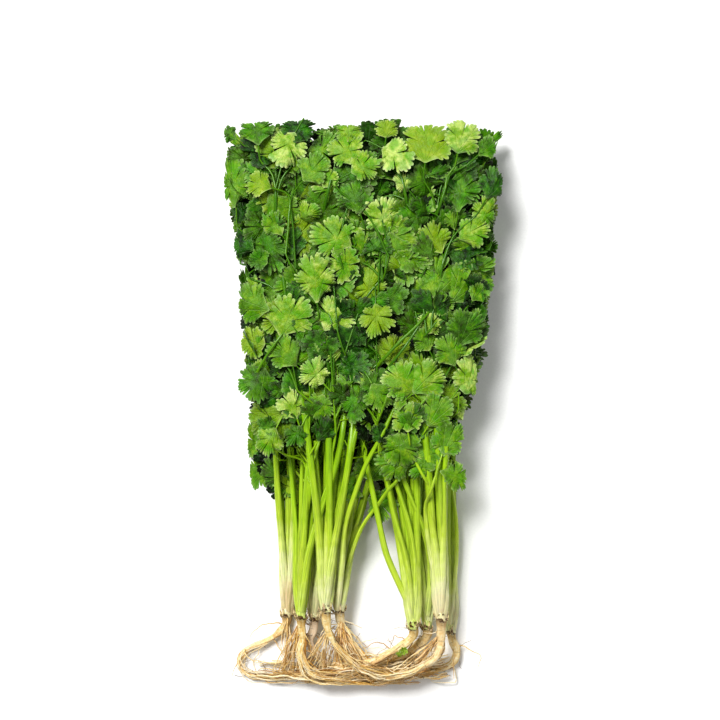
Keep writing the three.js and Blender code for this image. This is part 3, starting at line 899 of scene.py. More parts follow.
stalkShape = {
    "footRadius": 2.4,
    "tipRadius": 0.7,
    "lowSprayShare": 0.78,  # of footRadius, for a stalk that ends in a low spray
    "branchRadii": (0.85, 0.5),
    "ribRadii": (0.6, 0.4),
    "petioleRadii": (0.55, 0.4),
    "spacing": 4.0,
    "power": 0.8,  # how fast a stalk thins
    "footShare": 0.88,  # it is thinner inside its crown
    "footLength": 12,
    "squash": 0.88,
    "greenFrom": -120,  # y where a stalk's colour starts to run
    "greenLength": 145,
}


# How a stalk's colour runs: 0 at the crown, 1 in the leaves.
def stalkMoodOf(path, number, hue=0.0):
    y = path[:, 1]
    up = np.clip((y - stalkShape["greenFrom"]) / stalkShape["greenLength"], 0, 1)
    run = up + swing(number + 0.31, 0.06) + hue * (1 - up) ** 2
    green = np.full(len(y), 0.3 + 0.4 * chance(number + 0.32))
    scar = np.zeros(len(y))
    return np.stack([run, green, scar], 1)


def addStalk(pile, points, number, footRadius, tipRadius, sides=20, ribs=0.055, hue=0.0):
    k = stalkShape
    path = smoothPath(points, k["spacing"])
    share = np.linspace(0, 1, len(path))
    fromFoot = np.concatenate([[0], np.cumsum(np.linalg.norm(np.diff(path, axis=0), axis=1))])
    wave = 1 + 0.03 * np.sin(share * 23 + number) + 0.02 * np.sin(share * 51 + number * 2)
    radii = (tipRadius + (footRadius - tipRadius) * (1 - share) ** k["power"]) * wave
    radii = radii * (k["footShare"] + (1 - k["footShare"]) * ease(fromFoot / k["footLength"]))
    addTube(pile, path, radii, sides, stalkMoodOf(path, number, hue), ribs=ribs, twist=swing(number, 0.01),
            squash=k["squash"])
    return path


leafletLift = 0.2  # mm from a leaflet's underside to the middle of its stalk


# A spray as the solids have it: a rib with a leaflet at its end and one to each side.
def addSpray(plantPiles, spray, detail, darker):
    heading, size, number = spray["heading"], spray["size"], spray["number"]
    level = leafLevel(spray)
    join, end = along(spray, layout["sideJoinAt"]), along(spray, layout["endJoinAt"])
    # darker is painted shade for a spray inside the bunch.
    tone, lime = tones["fresh"] if spray["row"] == lowRow else drawTone(number, darker)
    rib = [(*spray["foot"], 0), (*join, 0.1), (*end, 0.3), (*along(spray, layout["endJoinAt"] + 3), 0.2)]
    rib = [(x, y, level * press(x, y) + leafletLift + z) for x, y, z in rib]
    path = smoothPath(rib, 2.5)
    radii = np.linspace(*stalkShape["ribRadii"], len(path))
    addTube(plantPiles["stalks"], path, radii, 7, stalkMoodOf(path, number))
    kinds = ["fan", "crenate", "cleft", "star", "ovate"]
    for i, (place, lean, share) in enumerate([(end, 0.0, 1.08), (join, -1, 1.0), (join, 1, 1.0)]):
        serial = number + 1000 * (i + 1)
        turned = heading + lean * layout["sideLean"] + swing(serial + 0.1, 0.16)
        x = place[0] + 1.5 * math.sin(turned)
        y = place[1] + 1.5 * math.cos(turned)
        kind = kinds[int(chance(number + i * 0.37 + 0.5) * len(kinds))]
        length = layout["leafletLength"] * size * share * (0.95 + 0.12 * chance(serial + 0.2))
        colour = (tone + swing(serial + 0.3, 0.05), lime)
        addLeaflet(plantPiles["leaves"], (x, y), level + 0.15 * i, turned, length, kind, colour, serial,
                   detail, leafMood(serial, 0.5))


def nearestTo(items, valueOf, wanted):
    return min(items, key=lambda item: abs(valueOf(item) - wanted))


# The stalks of one plant that the solids have too, from its crown to its sprays, and the routes they
# take.
def ownStalks(plant, piles):
    layer = plant["layer"]
    low = [sprayAt(800 + layer * 10 + i, lowRow, x, y, heading, size, layers[layer]["blades"][i % 2])
           for i, (x, y, heading, size) in enumerate(plant["low"])]
    start, end = plant["span"]
    own = [s for s in spraysOfLayer(layer) if start <= s["x"] < end]
    stalked = sorted([s for s in own if s["row"] == 0] + low, key=lambda s: s["x"])
    routes = []
    for i, spray in enumerate(stalked):
        across = 2 * i / (len(stalked) - 1) - 1 if len(stalked) > 1 else 0
        rise = layout["stalkRise"] * (1 if i % 2 == 0 else -1)
        points = stalkPoints(plant, spray, across * layout["stalkSpread"], rise)
        thick = stalkShape["lowSprayShare"] if spray["row"] == lowRow else 1.0
        footX = plant["crown"][0] + 0.5 * across * layout["stalkSpread"]
        foot = (footX, plant["crown"][1], layers[layer]["crown"])
        path = addStalk(piles["stalks"], [foot, *points], spray["number"], stalkShape["footRadius"] * thick,
                        stalkShape["tipRadius"], hue=plant["hue"])
        routes.append({"x": spray["x"], "footY": spray["foot"][1], "bare": points[:-2], "path": path})
    for spray in own:
        if spray["row"] == 0:
            continue
        passing = [r for r in routes if r["footY"] > spray["foot"][1]]
        near = nearestTo(passing, lambda r: r["x"], spray["x"])
        startPoint = nearestTo(near["bare"], lambda p: p[1], spray["foot"][1] - layout["branchDrop"])
        points = [startPoint, aimPoint(plant, spray), *tipPoints(spray)]
        radii = stalkShape["branchRadii"]
        path = addStalk(piles["stalks"], points, spray["number"], *radii, sides=10, ribs=0.04)
        routes.append({"x": spray["x"], "footY": -math.inf, "bare": points[:-2], "path": path})
    return own + low, routes


petioleRoute = {
    "behind": 5,  # mm that it starts nearer to the roots than its leaf's foot, at least
    "drop": (14, 30),  # the least wanted, and what the draw adds
    "weights": (1.1, 0.5, 1.2),  # of the way across, along and up, when it looks for the nearest stalk
    "lowAcross": 2.0,  # the first weight for a leaf below lowFrom
    "lowFrom": 0,
    "lead": (9.0, 0.4),  # mm, and share of the whole way, that it runs straight into its leaf
    "leadRise": 0.25,
    "diveFrom": 12,  # below this y it runs under the leaves beside it
    "upper": (0.14, -0.5),  # how far it bows to its stalk, and mm that it sags
    "lower": (0.2, -9),
    "spacing": 3.5,
    "heights": (0.7, 0.8),  # mm kept above the table and under the lid
    "lookBack": 15,
    "inset": 3,
}


# A thin leaf stalk from the nearest point of the plant's stalks up to a leaflet's foot.
def addPetiole(pile, routes, foot, heading, number):
    r = petioleRoute
    x, y, z = foot
    cloud = np.concatenate([route["path"] for route in routes])
    behind = cloud[:, 1] < y - r["behind"]
    cloud = cloud[behind] if behind.any() else cloud
    drop = r["drop"][0] + r["drop"][1] * chance(number + 0.37) * min(1, max(0.3, (y + 60) / 80))
    across, lengthwise, upright = r["weights"]
    across = across if y > r["lowFrom"] else r["lowAcross"]
    gap = np.abs(cloud[:, 0] - x) * across + np.abs(y - drop - cloud[:, 1]) * lengthwise
    gap = gap + np.abs(cloud[:, 2] - z) * upright
    start = cloud[np.argmin(gap)]
    lead = min(r["lead"][0], r["lead"][1] * np.linalg.norm(np.array(foot) - start))
    near = (x - lead * math.sin(heading), y - lead * math.cos(heading), z - r["leadRise"] * lead)
    upper = y > r["diveFrom"]
    hug, dive = r["upper"] if upper else r["lower"]
    early = mix(start, np.array(near), 0.2) + np.array((0, 2, dive * 0.9))
    middle = mix(start, np.array(near), 0.5) + np.array(((start[0] - x) * hug, 2, dive))
    route = [start, middle, near, foot] if upper else [start, early, middle, near, foot]
    path = smoothPath(route, r["spacing"])
    path[:, 2] = np.clip(path[:, 2], r["heights"][0], layout["lidZ"] - r["heights"][1])
    edge = leafWidthAt(y - r["lookBack"], x) - r["inset"]
    path[:, 0] = np.clip(path[:, 0], -edge, edge)
    radii = np.linspace(*stalkShape["petioleRadii"], len(path)) * (0.8 + 0.5 * chance(number + 0.38))
    addTube(pile, path, radii, 6, stalkMoodOf(path, number))


# The leaves that lie uppermost, placed by the photograph: centre in pixels, length in pixels, heading in
# degrees clockwise from the tips' end of the bunch, shape, tone, and how bent they are, from 0 to 1.
topLeaves = [
    (426, 140, 52, 4, "crenate", "lime", 0.3), (461, 137, 40, 14, "crenate", "pale", 0.2),
    (486, 150, 24, 50, "fan", "mid", 0.6), (398, 160, 38, 118, "cleft", "pale", 0.4),
    (345, 150, 38, -20, "star", "light", 0.3), (366, 168, 34, 60, "star", "light", 0.4),
    (384, 216, 42, 6, "star", "pale", 0.2), (331, 238, 46, -64, "star", "light", 0.3),
    (316, 279, 50, -4, "ovate", "light", 0.3), (392, 254, 40, 172, "fan", "fresh", 0.4),
    (337, 314, 42, 36, "star", "pale", 0.3), (376, 322, 36, 178, "star", "lime", 0.3),
    (369, 286, 44, 6, "ovate", "lime", 0.4), (291, 316, 46, 24, "fan", "light", 0.4),
    (314, 371, 32, -40, "star", "pale", 0.4), (399, 377, 44, -42, "crenate", "light", 0.4),
    (426, 378, 40, 44, "fan", "light", 0.4), (471, 374, 42, 20, "crenate", "pale", 1.0),
    (460, 188, 52, 8, "ovate", "mid", 1.1), (415, 214, 44, -6, "ovate", "mid", 1.2),
    (493, 186, 34, 30, "fan", "deep", 1.0), (233, 182, 56, -6, "ovate", "fresh", 1.6),
    (228, 133, 24, -50, "fan", "mid", 0.8), (257, 129, 38, -8, "fan", "mid", 0.5),
    (298, 127, 38, 4, "crenate", "deep", 0.6), (349, 130, 30, 0, "crenate", "light", 0.6),
    (386, 129, 24, 2, "crenate", "lime", 0.5), (286, 153, 40, -150, "cleft", "pale", 0.6),
    (315, 171, 34, 40, "fan", "fresh", 0.6), (260, 186, 28, -70, "fan", "lime", 0.8),
    (281, 214, 42, 150, "fan", "fresh", 0.6), (270, 252, 48, 172, "ovate", "mid", 1.3),
    (241, 243, 34, -60, "fan", "deep", 1.2), (355, 199, 36, -16, "fan", "mid", 0.5),
    (434, 272, 54, 2, "cleft", "fresh", 0.9), (472, 232, 34, 60, "fan", "light", 0.8),
    (432, 240, 34, -30, "fan", "lime", 0.6), (484, 214, 34, 26, "ovate", "light", 1.0),
    (252, 304, 40, -70, "fan", "fresh", 0.9), (250, 341, 34, -80, "crenate", "lime", 0.9),
    (256, 386, 42, -150, "crenate", "mid", 0.8), (341, 347, 50, 160, "fan", "deep", 0.9),
    (333, 394, 42, 20, "ovate", "fresh", 0.7), (364, 372, 28, 50, "star", "pale", 0.7),
    (404, 414, 34, -10, "crenate", "light", 0.4), (437, 408, 40, 30, "crenate", "fresh", 0.5),
    (464, 328, 40, 20, "fan", "mid", 0.9), (448, 350, 34, -20, "fan", "fresh", 0.7),
    (430, 322, 28, 20, "star", "pale", 0.6), (310, 330, 34, 120, "fan", "mid", 0.7),
    (286, 352, 36, -40, "fan", "fresh", 0.7), (292, 402, 34, -20, "star", "pale", 0.7),
    (400, 452, 42, 176, "crenate", "fresh", 0.6), (270, 440, 30, -150, "fan", "light", 0.8),
    (354, 404, 34, 172, "ovate", "mid", 0.5), (320, 408, 30, -164, "star", "fresh", 0.6),
    (379, 396, 30, 150, "fan", "fresh", 0.5), (296, 436, 26, -150, "star", "mid", 0.6),
]

# Leaves between and under those, tier by tier: the range of heights, how many, the plants' layer, how
# finely their edges are drawn, how bent they are, and how much painted shade darkens them inside the bunch.
tiers = [
    {"levels": (1.5, 4.5), "count": 64, "layer": 0, "detail": "plain", "spread": 0.5, "darker": 0.3},
    {"levels": (7.5, 11.5), "count": 60, "layer": 1, "detail": "plain", "spread": 1.0, "darker": 0.4},
    {"levels": (15.0, 19.0), "count": 60, "layer": 2, "detail": "plain", "spread": 1.0, "darker": 0.55},
    {"levels": (23.0, 27.0), "count": 64, "layer": 3, "detail": "plain", "spread": 1.0, "darker": 0.6},
    {"levels": (29.0, 33.0), "count": 110, "layer": 4, "detail": "middle", "spread": 1.5, "darker": 0.5},
    {"levels": (34.0, 38.5), "count": 150, "layer": 4, "detail": "middle", "spread": 1.7, "darker": 0.08},
    {"levels": (39.0, 41.5), "count": 44, "layer": 4, "detail": "middle", "spread": 1.4, "darker": 0.0,
     "lengths": (10, 16)},
]


topLayer = len(layers) - 1


# The plant of a layer that fills the bunch at x.
def plantFor(layerIndex, x):
    for i, plant in enumerate(plants):
        if plant["layer"] == layerIndex and plant["span"][0] <= x < plant["span"][1]:
            return i
    return [i for i, plant in enumerate(plants) if plant["layer"] == layerIndex][0]


# A leaflet by its middle, with the petiole that carries it. One at the rim turns its tip outwards.
def addLooseLeaf(plantPiles, centre, level, heading, length, kind, colour, number, detail, pose):
    inset = 13 if centre[1] > -10 else 30
    if abs(centre[0]) > halfWidthAt(centre[1]) - inset and centre[0] * math.sin(heading) < 0:
        heading = -heading
    x = centre[0] - 0.5 * length * math.sin(heading)
    y = centre[1] - 0.5 * length * math.cos(heading)
    addLeaflet(plantPiles["leaves"], (x, y), level, heading, length, kind, colour, number, detail, pose)
    foot = (x, y, level * press(x, y) + leafletLift)
    addPetiole(plantPiles["stalks"], plantPiles["routes"], foot, heading, number)


# A low-discrepancy scatter, so that no patch stays bare. fan is how far the leaves turn out at 75 mm from
# the middle, lidOver how far they may rise over their tier, and folded the share that hangs down at both
# sides.
scatter = {
    "steps": (0.7548776662, 0.5698402910),
    "tierShifts": (0.37, 0.21),
    "y": (-16, 146),
    "inset": 5,
    "fan": 0.7,
    "turn": 1.5,
    "lengths": (17, 26),
    "lidOver": 3,
    "folded": 0.7,
    "rimLight": 22,  # mm in from the rim over which the painted shade of the inner leaves sets in
    # footLight: the y and length over which that painted shade sets in from the foot of the foliage
    "footLight": (-34, 30),
}


def addTiers(piles):
    c = scatter
    kinds = list(leafKinds)
    footFrom, footLength = c["footLight"]
    for t, tier in enumerate(tiers):
        for i in range(tier["count"]):
            number = 3000 + t * 300 + i
            sx, sy = [(0.5 + i * step + t * shift) % 1 for step, shift in zip(c["steps"], c["tierShifts"])]
            y = mix(*c["y"], sy)
            x = (sx * 2 - 1) * (leafWidthAt(y, sx - 0.5) - c["inset"])
            heading = x / 75 * c["fan"] + swing(number + 0.1, c["turn"])
            length = mix(*tier.get("lengths", c["lengths"]), chance(number + 0.2))
            kind = kinds[int(chance(number + 0.3) * len(kinds))]
            level = mix(*tier["levels"], chance(number + 0.4))
            # Painted shade: leaves inside the bunch, away from its rim and foot, are drawn darker and less
            # lime.
            inside = ease((halfWidthAt(y) - abs(x)) / c["rimLight"]) * ease((y - footFrom) / footLength)
            darker = tier["darker"] * inside
            tone, lime = drawTone(number, darker)
            pose = leafMood(number, tier["spread"])
            pose["lid"] = tier["levels"][1] + c["lidOver"]
            if chance(number + 0.5) < c["folded"]:
                pose["fold"] = -abs(pose["fold"])
            addLooseLeaf(piles[plantFor(tier["layer"], x)], (x, y), level, heading, length, kind,
                         (tone, lime * (1 - darker)), number, tier["detail"], pose)


goldenStep = 0.618034  # shares that step by this spread evenly

# Shaded leaves low behind the stalks, where the two clusters of stalks run into the foliage.
backLeaves = {
    "count": 34,
    "left": (-52, -6),
    "right": (14, 47),
    "y": (-50, -16),
    "levels": (2, 9),
    "turn": 1.2,
    "lengths": (17, 24),
    # painted shade on their tone
    "darker": 0.22,
    "split": 10,  # x between the plants that carry them
}


def addBackLeaves(piles):
    b = backLeaves
    for i in range(b["count"]):
        number = 5400 + i
        x = mix(*(b["left"] if i % 2 else b["right"]), (0.5 + i * goldenStep) % 1)
        y = mix(*b["y"], chance(number + 0.1))
        level = mix(*b["levels"], chance(number + 0.3))
        length = mix(*b["lengths"], chance(number + 0.4))
        plantIndex = plantFor(1 if x > b["split"] else 0, x)
        heading = swing(number + 0.2, b["turn"])
        addLooseLeaf(piles[plantIndex], (x, y), level, heading, length, "star" if i % 3 else "ovate",
                     drawTone(number, b["darker"]), number, "plain", leafMood(number, 1.0))


# Leaves that stand on edge round the rim, folded by the press of the bunch.
rim = {
    "perSide": 26,
    "y": (-22, 146),
    "levels": (4, 36),
    "levelStep": 0.618,
    "levelsPerLayer": 8,
    "inset": 6,
    "turn": (0.35, 0.8),  # the least, and what the draw adds
    "roll": (0.5, 0.5),
    "fold": (0.35, 0.5),
    "lengths": (20, 26),
}


def addRim(piles):
    for side in (-1, 1):
        for i in range(rim["perSide"]):
            number = 6000 + (side + 1) * 100 + i
            y = mix(*rim["y"], (i + 0.5) / rim["perSide"]) + swing(number, 3)
            level = mix(*rim["levels"], (i * rim["levelStep"]) % 1)
            x = side * (leafWidthAt(y, side) - rim["inset"] + swing(number + 0.2, 2.5))
            heading = side * (rim["turn"][0] + rim["turn"][1] * chance(number + 0.3))
            pose = leafMood(number, 1.0)
            pose["roll"] = side * (rim["roll"][0] + rim["roll"][1] * chance(number + 0.4))
            pose["fold"] = rim["fold"][0] + rim["fold"][1] * chance(number + 0.5)
            length = mix(*rim["lengths"], chance(number + 0.6))
            layerIndex = min(len(layers) - 1, int(level / rim["levelsPerLayer"]))
            addLooseLeaf(piles[plantFor(layerIndex, x)], (x, y), level, heading, length,
                         "ovate" if i % 2 else "crenate", drawTone(number), number, "middle", pose)


# How high the uppermost leaves lie: in three steps, the bent ones lower, and raised towards the far end.
topRise = {"level": 41.0, "step": 1.2, "bent": 1.2, "farEnd": 4.5, "farFrom": 105, "farLength": 30}


def addTopLeaves(piles):
    r = topRise
    for i, (px, py, size, degrees, kind, toneName, bent) in enumerate(topLeaves):
        number = 7000 + i
        x, y = photoPlace(px, py)
        tone, lime = tones[toneName]
        level = r["level"] + r["step"] * (i % 3) - r["bent"] * bent
        level += r["farEnd"] * ease((y - r["farFrom"]) / r["farLength"])
        pose = leafMood(number, 0.25 + 0.55 * bent)
        pose["fold"] = -0.7 * abs(pose["fold"])
        pose["cup"] = -0.8 * abs(pose["cup"])
        colour = (tone + swing(number + 0.1, 0.04), lime)
        addLooseLeaf(piles[plantFor(topLayer, x)], (x, y), level, math.radians(degrees),
                     size * layout["pixelSize"], kind, colour, number, "fine", pose)


# Stalks placed by the photograph: plant, radii at the foot and the end, points in pixels with heights in
# mm.
photoStalks = [
    (4, (1.85, 0.7), [(337, 612, 14.5), (340, 585, 18), (342, 564, 21), (346, 522, 27), (354, 496, 31),
     (365, 465, 36), (383, 431, 39.5), (395, 405, 38), (405, 386, 33)]),
    (3, (0.95, 0.6), [(370, 374, 34), (384, 358, 41.5), (400, 341, 43.5), (414, 328, 43.5),
     (426, 315, 41), (434, 304, 36)]),
    (3, (0.75, 0.5), [(381, 376, 34), (393, 361, 41.5), (409, 340, 43), (420, 322, 42), (425, 309, 37)]),
    (3, (0.75, 0.5), [(252, 386, 32), (262, 366, 39.5), (272, 350, 41.5), (284, 334, 41.5),
     (293, 321, 36)]),
    (4, (1.3, 0.8), [(341, 600, 13), (352, 553, 17), (365, 522, 21), (379, 503, 25), (386, 492, 28),
     (400, 475, 31), (408, 455, 34)]),
    (5, (1.9, 1.1), [(413, 622, 17), (409, 606, 18), (398, 582, 19.5), (386, 553, 21.5), (379, 522, 24),
     (375, 503, 25), (368, 470, 28), (360, 430, 29), (352, 395, 30)]),
    (8, (1.2, 0.8), [(451, 628, 6), (454, 600, 7), (458, 553, 9), (457, 522, 12), (452, 490, 16),
     (446, 455, 22), (442, 430, 27)]),
    (0, (2.2, 1.3), [(286, 615, 4.5), (282, 560, 6), (277, 496, 9), (275, 448, 13), (275, 410, 17),
     (276, 385, 20)]),
    (0, (2.0, 1.4), [(287, 615, 5.5), (291, 560, 8), (293, 520, 11), (291, 448, 18), (289, 415, 22)]),
    (1, (2.1, 1.4), [(300, 612, 17), (302, 560, 19), (305, 522, 21), (314, 467, 27), (319, 430, 28)]),
    (1, (2.1, 1.3), [(301, 612, 18.5), (309, 553, 22.5), (323, 503, 29), (338, 457, 35), (343, 430, 36.5),
     (346, 402, 32)]),
    (2, (2.3, 1.3), [(314, 618, 9), (320, 572, 15), (334, 526, 24), (344, 486, 31), (354, 438, 36),
     (362, 408, 31)]),
    (3, (2.3, 1.4), [(326, 606, 22), (333, 553, 26), (341, 507, 31), (350, 450, 36.5), (354, 410, 32)]),
    (3, (1.9, 1.3), [(325, 606, 21), (326, 553, 24), (329, 507, 29), (331, 450, 35), (329, 415, 30)]),
    (5, (1.8, 1.2), [(413, 620, 17), (406, 559, 21), (394, 515, 25), (387, 480, 29)]),
    (5, (2.0, 1.2), [(416, 618, 16.5), (414, 553, 20), (404, 507, 24), (394, 478, 28)]),
    (6, (1.9, 1.2), [(427, 618, 9), (422, 572, 13), (414, 515, 19), (412, 478, 24)]),
    (6, (2.1, 1.3), [(428, 618, 10), (431, 564, 15), (424, 530, 20), (412, 500, 24), (400, 470, 29)]),
    (7, (2.2, 1.4), [(440, 612, 22), (436, 553, 26), (430, 510, 30), (428, 454, 36)]),
    (7, (2.2, 1.4), [(441, 612, 22), (443, 534, 27), (443, 486, 32), (445, 445, 36)]),
    (8, (2.0, 1.2), [(451, 628, 5), (449, 560, 9), (449, 500, 15), (450, 460, 20)]),
]


def addPhotoStalks(piles):
    for i, (plantIndex, radii, spots) in enumerate(photoStalks):
        points = [(*photoPlace(px, py), z) for px, py, z in spots]
        addStalk(piles[plantIndex]["stalks"], points, 40 + i, *radii, hue=plants[plantIndex]["hue"])


# More stalks of each plant, which close its pillar and end under the leaves.
fillStalks = {
    "perPlant": 5,
    "spread": 13,
    "inward": 5,
    "toY": (-36, 6),
    "toX": (-54, 46),
    "rise": (0.55, 0.3),  # share of the way from crown to layer, and what the draw adds
    "under": 2,
    "radii": (1.9, 1.0),
}


def addFillStalks(piles):
    f = fillStalks
    for index, plant in enumerate(plants):
        crownZ, stalkZ = layers[plant["layer"]]["crown"], layers[plant["layer"]]["stalk"]
        x, y = plant["crown"]
        for i in range(f["perPlant"]):
            number = 8100 + index * 10 + i
            side = 2 * (i + 0.5) / f["perPlant"] - 1
            inward = f["inward"] if x < 0 else -f["inward"]
            endX = x + side * f["spread"] * (0.6 + 0.6 * chance(number)) + inward
            endX = min(max(endX, f["toX"][0]), f["toX"][1])
            endY = mix(*f["toY"], chance(number + 0.1))
            endZ = mix(crownZ, stalkZ, f["rise"][0] + f["rise"][1] * chance(number + 0.2)) - f["under"]
            footX = x + side * 1.2
            middle = (mix(footX, endX, 0.36), mix(y, endY, 0.5), mix(crownZ, endZ, 0.45))
            upper = (mix(footX, endX, 0.7), mix(y, endY, 0.8), mix(crownZ, endZ, 0.8))
            wide = (mix(footX, endX, 0.08) + side * 1.4, y + 13, crownZ)
            points = [(footX, y, crownZ), wide, middle, upper, (endX, endY, endZ)]
            addStalk(piles[index]["stalks"], points, number, *f["radii"], sides=16, hue=plant["hue"])


crownShape = {
    "sides": 24,
    "below": 2.5,
    "above": 7,
    "spacing": 0.5,
    "radius": 2.7,
    "scar": (0.18, 0.12),  # where its two broken rings of scars lie along it, and what the draw adds
    "upperScar": (0.45, 0.2),
    "flakes": 8,
    "flakeRadii": (0.6, 0.15),
    "flakeOut": 2.5,
}


# The crown: a short body, fluted where the stalks' feet wrap each other, with broken dark scars of old
# leaves round it.
def addCrown(pile, plant, number):
    x, y = plant["crown"]
    z = layers[plant["layer"]]["crown"]
    c = crownShape
    ys = np.arange(y - c["below"], y + c["above"], c["spacing"])
    share = (ys - ys[0]) / (ys[-1] - ys[0])
    lean = (plant["root"][1][0] - x) * 0.12 * (1 - share) ** 2
    path = np.stack([x + lean, ys, z - 0.8 * ease((share - 0.4) / 0.6)], 1)
    radii = c["radius"] + 0.12 * np.sin(share * 7 + number) - 1.5 * ease((share - 0.45) / 0.55)
    scarAt = c["scar"][0] + c["scar"][1] * chance(number + 0.11)
    upperScarAt = c["upperScar"][0] + c["upperScar"][1] * chance(number + 0.12)
    radii = radii * np.minimum(1, 0.8 + share * 4)
    mood = stalkMoodOf(path, number, plant["hue"])
    mood[:, 0] = 0.03 + share * 0.1 + 0.7 * max(0, plant["hue"])
    mood[:, 1] = 0.2 + 1.5 * max(0, plant["hue"])
    mood[:, 2] = (1.3 * np.exp(-((share - scarAt) / 0.09) ** 2)
                  + (0.3 + 0.9 * (number % 2)) * np.exp(-((share - upperScarAt) / 0.06) ** 2)
                  + 1.5 * np.exp(-((share - 0.01) / 0.08) ** 2))
    addTube(pile, path, radii, c["sides"], mood, ribs=0.04, ribCount=5, twist=0.02)
    # Torn bases of old leaves, brown and thin, that stand off at the foot.
    for i in range(c["flakes"]):
        serial = number * 10 + i + 0.5
        turn = chance(serial) * 6.28
        out = np.array((math.cos(turn), 0.35, math.sin(turn)))
        foot = np.array((x, y - 1.2 + swing(serial + 0.1, 1.6), z))
        foot += out * (c["flakeOut"], 0, c["flakeOut"])
        tip = foot + out * 1.6 + (0, 2.4 + 2 * chance(serial + 0.2), 0)
        flake = smoothPath([foot, foot + out * 1.2 + (0, 0.8, 0), tip], 0.8)
        addTube(pile, flake, np.linspace(*c["flakeRadii"], len(flake)), 6, (0.0, 0.2, 1.4), squash=0.5)


rootShape = {
    "topRadius": 2.75,
    "tipRadius": 0.4,
    "taper": 2.1,
    "sides": 16,
    "spacing": 1.5,
    "strands": 20,  # long fibres that run with the taproot
    "rootlets": 22,  # curling side roots
    "hairs": 12,
    "floorStrands": 60,
    "step": 2.0,  # mm between the points of a rootlet
    "curl": 0.55,
    "turnBack": 7,  # mm from the bottom edge where rootlets bend back up
}

# Sheaves of straight fine fibres that fan out from a crown, placed by the photograph: plant, where they
# start, the two ends of the line they reach, in pixels with heights in mm, how many, and their spread.
sheaves = [
    {"plant": 1, "start": (299, 630, 15), "ends": ((276, 676, 5), (302, 682, 9)),
     "count": 34, "width": 8},
    {"plant": 0, "start": (286, 624, 5), "ends": ((274, 662, 3), (290, 668, 3)), "count": 12, "width": 5},
    {"plant": 3, "start": (328, 632, 19), "ends": ((300, 674, 8), (334, 680, 13)),
     "count": 22, "width": 7},
    {"plant": 4, "start": (341, 627, 14), "ends": ((322, 674, 8), (368, 664, 10)),
     "count": 44, "width": 9},
    {"plant": 4, "start": (343, 636, 14), "ends": ((345, 678, 12), (372, 672, 12)),
     "count": 20, "width": 9},
    {"plant": 7, "start": (438, 640, 19), "ends": ((384, 684, 8), (420, 682, 10)),
     "count": 16, "width": 6},
    {"plant": 5, "start": (409, 642, 16), "ends": ((350, 678, 12), (372, 668, 14)),
     "count": 18, "width": 6},
]


def wobble(path, number, reach):
    share = np.linspace(0, 1, len(path))
    shift = np.zeros_like(path)
    for k, wave in enumerate((7, 13, 29)):
        shift[:, 0] += np.sin(share * wave + number * 1.7 + k) * reach / (k + 1)
        shift[:, 1] += np.sin(share * wave * 1.2 + number * 2.9 + k) * reach * 0.7 / (k + 1)
        shift[:, 2] += np.cos(share * wave + number * 2.3 + k) * reach * 0.5 / (k + 1)
    return path + shift * np.minimum(1, share * 6)[:, None]


def keepOnTable(path, radius=0.4):
    path[:, 1] = np.maximum(path[:, 1], layout["rootFloorY"] + 0.5)
    path[:, 2] = np.maximum(path[:, 2], radius + 0.1)
    return path


# The mood of a root: tone, pinkness, soil.
def rootMoodOf(number, soil=0.0):
    return (0.24 + 0.72 * chance(number + 0.9) ** 0.8, 0.25 * chance(number + 0.91), soil)


# A curling side root. pull draws it towards the other side of the bunch.
def addRootlet(pile, start, direction, length, radius, number, pull, soil=0.0):
    step, back = rootShape["step"], rootShape["turnBack"]
    point = np.array(start, float)
    heading = np.array(direction, float)
    points = [point.copy()]
    floor = layout["rootFloorY"]
    for i in range(max(4, int(length / step))):
        noise = np.array([swing(number + i * 0.013, 1), swing(number + i * 0.017 + 0.3, 1),
                          swing(number + i * 0.019 + 0.6, 0.5)])
        sinking = np.array((pull * 0.14, -0.12, -0.02 * (point[2] - 4)))
        heading = heading + noise * rootShape["curl"] + sinking
        if point[1] < floor + back:
            heading[1] += 0.4 * (floor + back - point[1]) / back
            heading[0] += pull * 0.25
        heading /= np.linalg.norm(heading)
        point = point + heading * step
        points.append(point.copy())
    path = keepOnTable(np.array(points))
    radii = np.linspace(radius, max(0.1, radius * 0.3), len(path))
    addTube(pile, path, radii, 5, rootMoodOf(number, soil))


# A long fibre that leaves the taproot at a share of its length and runs beside it.
def addStrand(pile, path, number):
    start = int(len(path) * (0.04 + 0.5 * chance(number) ** 1.4))
    stop = int(len(path) * (0.72 + 0.28 * chance(number + 0.1)))
    run = path[start:max(stop, start + 12)].copy()
    share = np.linspace(0, 1, len(run))
    spreadOut = np.array((swing(number + 0.2, 7), swing(number + 0.3, 7), swing(number + 0.4, 5)))
    aside = np.array((swing(number + 0.5, 1.2), swing(number + 0.6, 1.2), swing(number + 0.7, 1.2)))
    run += aside * np.minimum(1, share * 8)[:, None] + spreadOut * (share ** 1.3)[:, None]
    run = keepOnTable(wobble(run, number, 0.9))[::2]
    radius = 0.25 + 0.45 * chance(number + 0.8) ** 2
    radii = radius * (1 - 0.65 * np.linspace(0, 1, len(run)))
    addTube(pile, run, radii, 6, rootMoodOf(number))


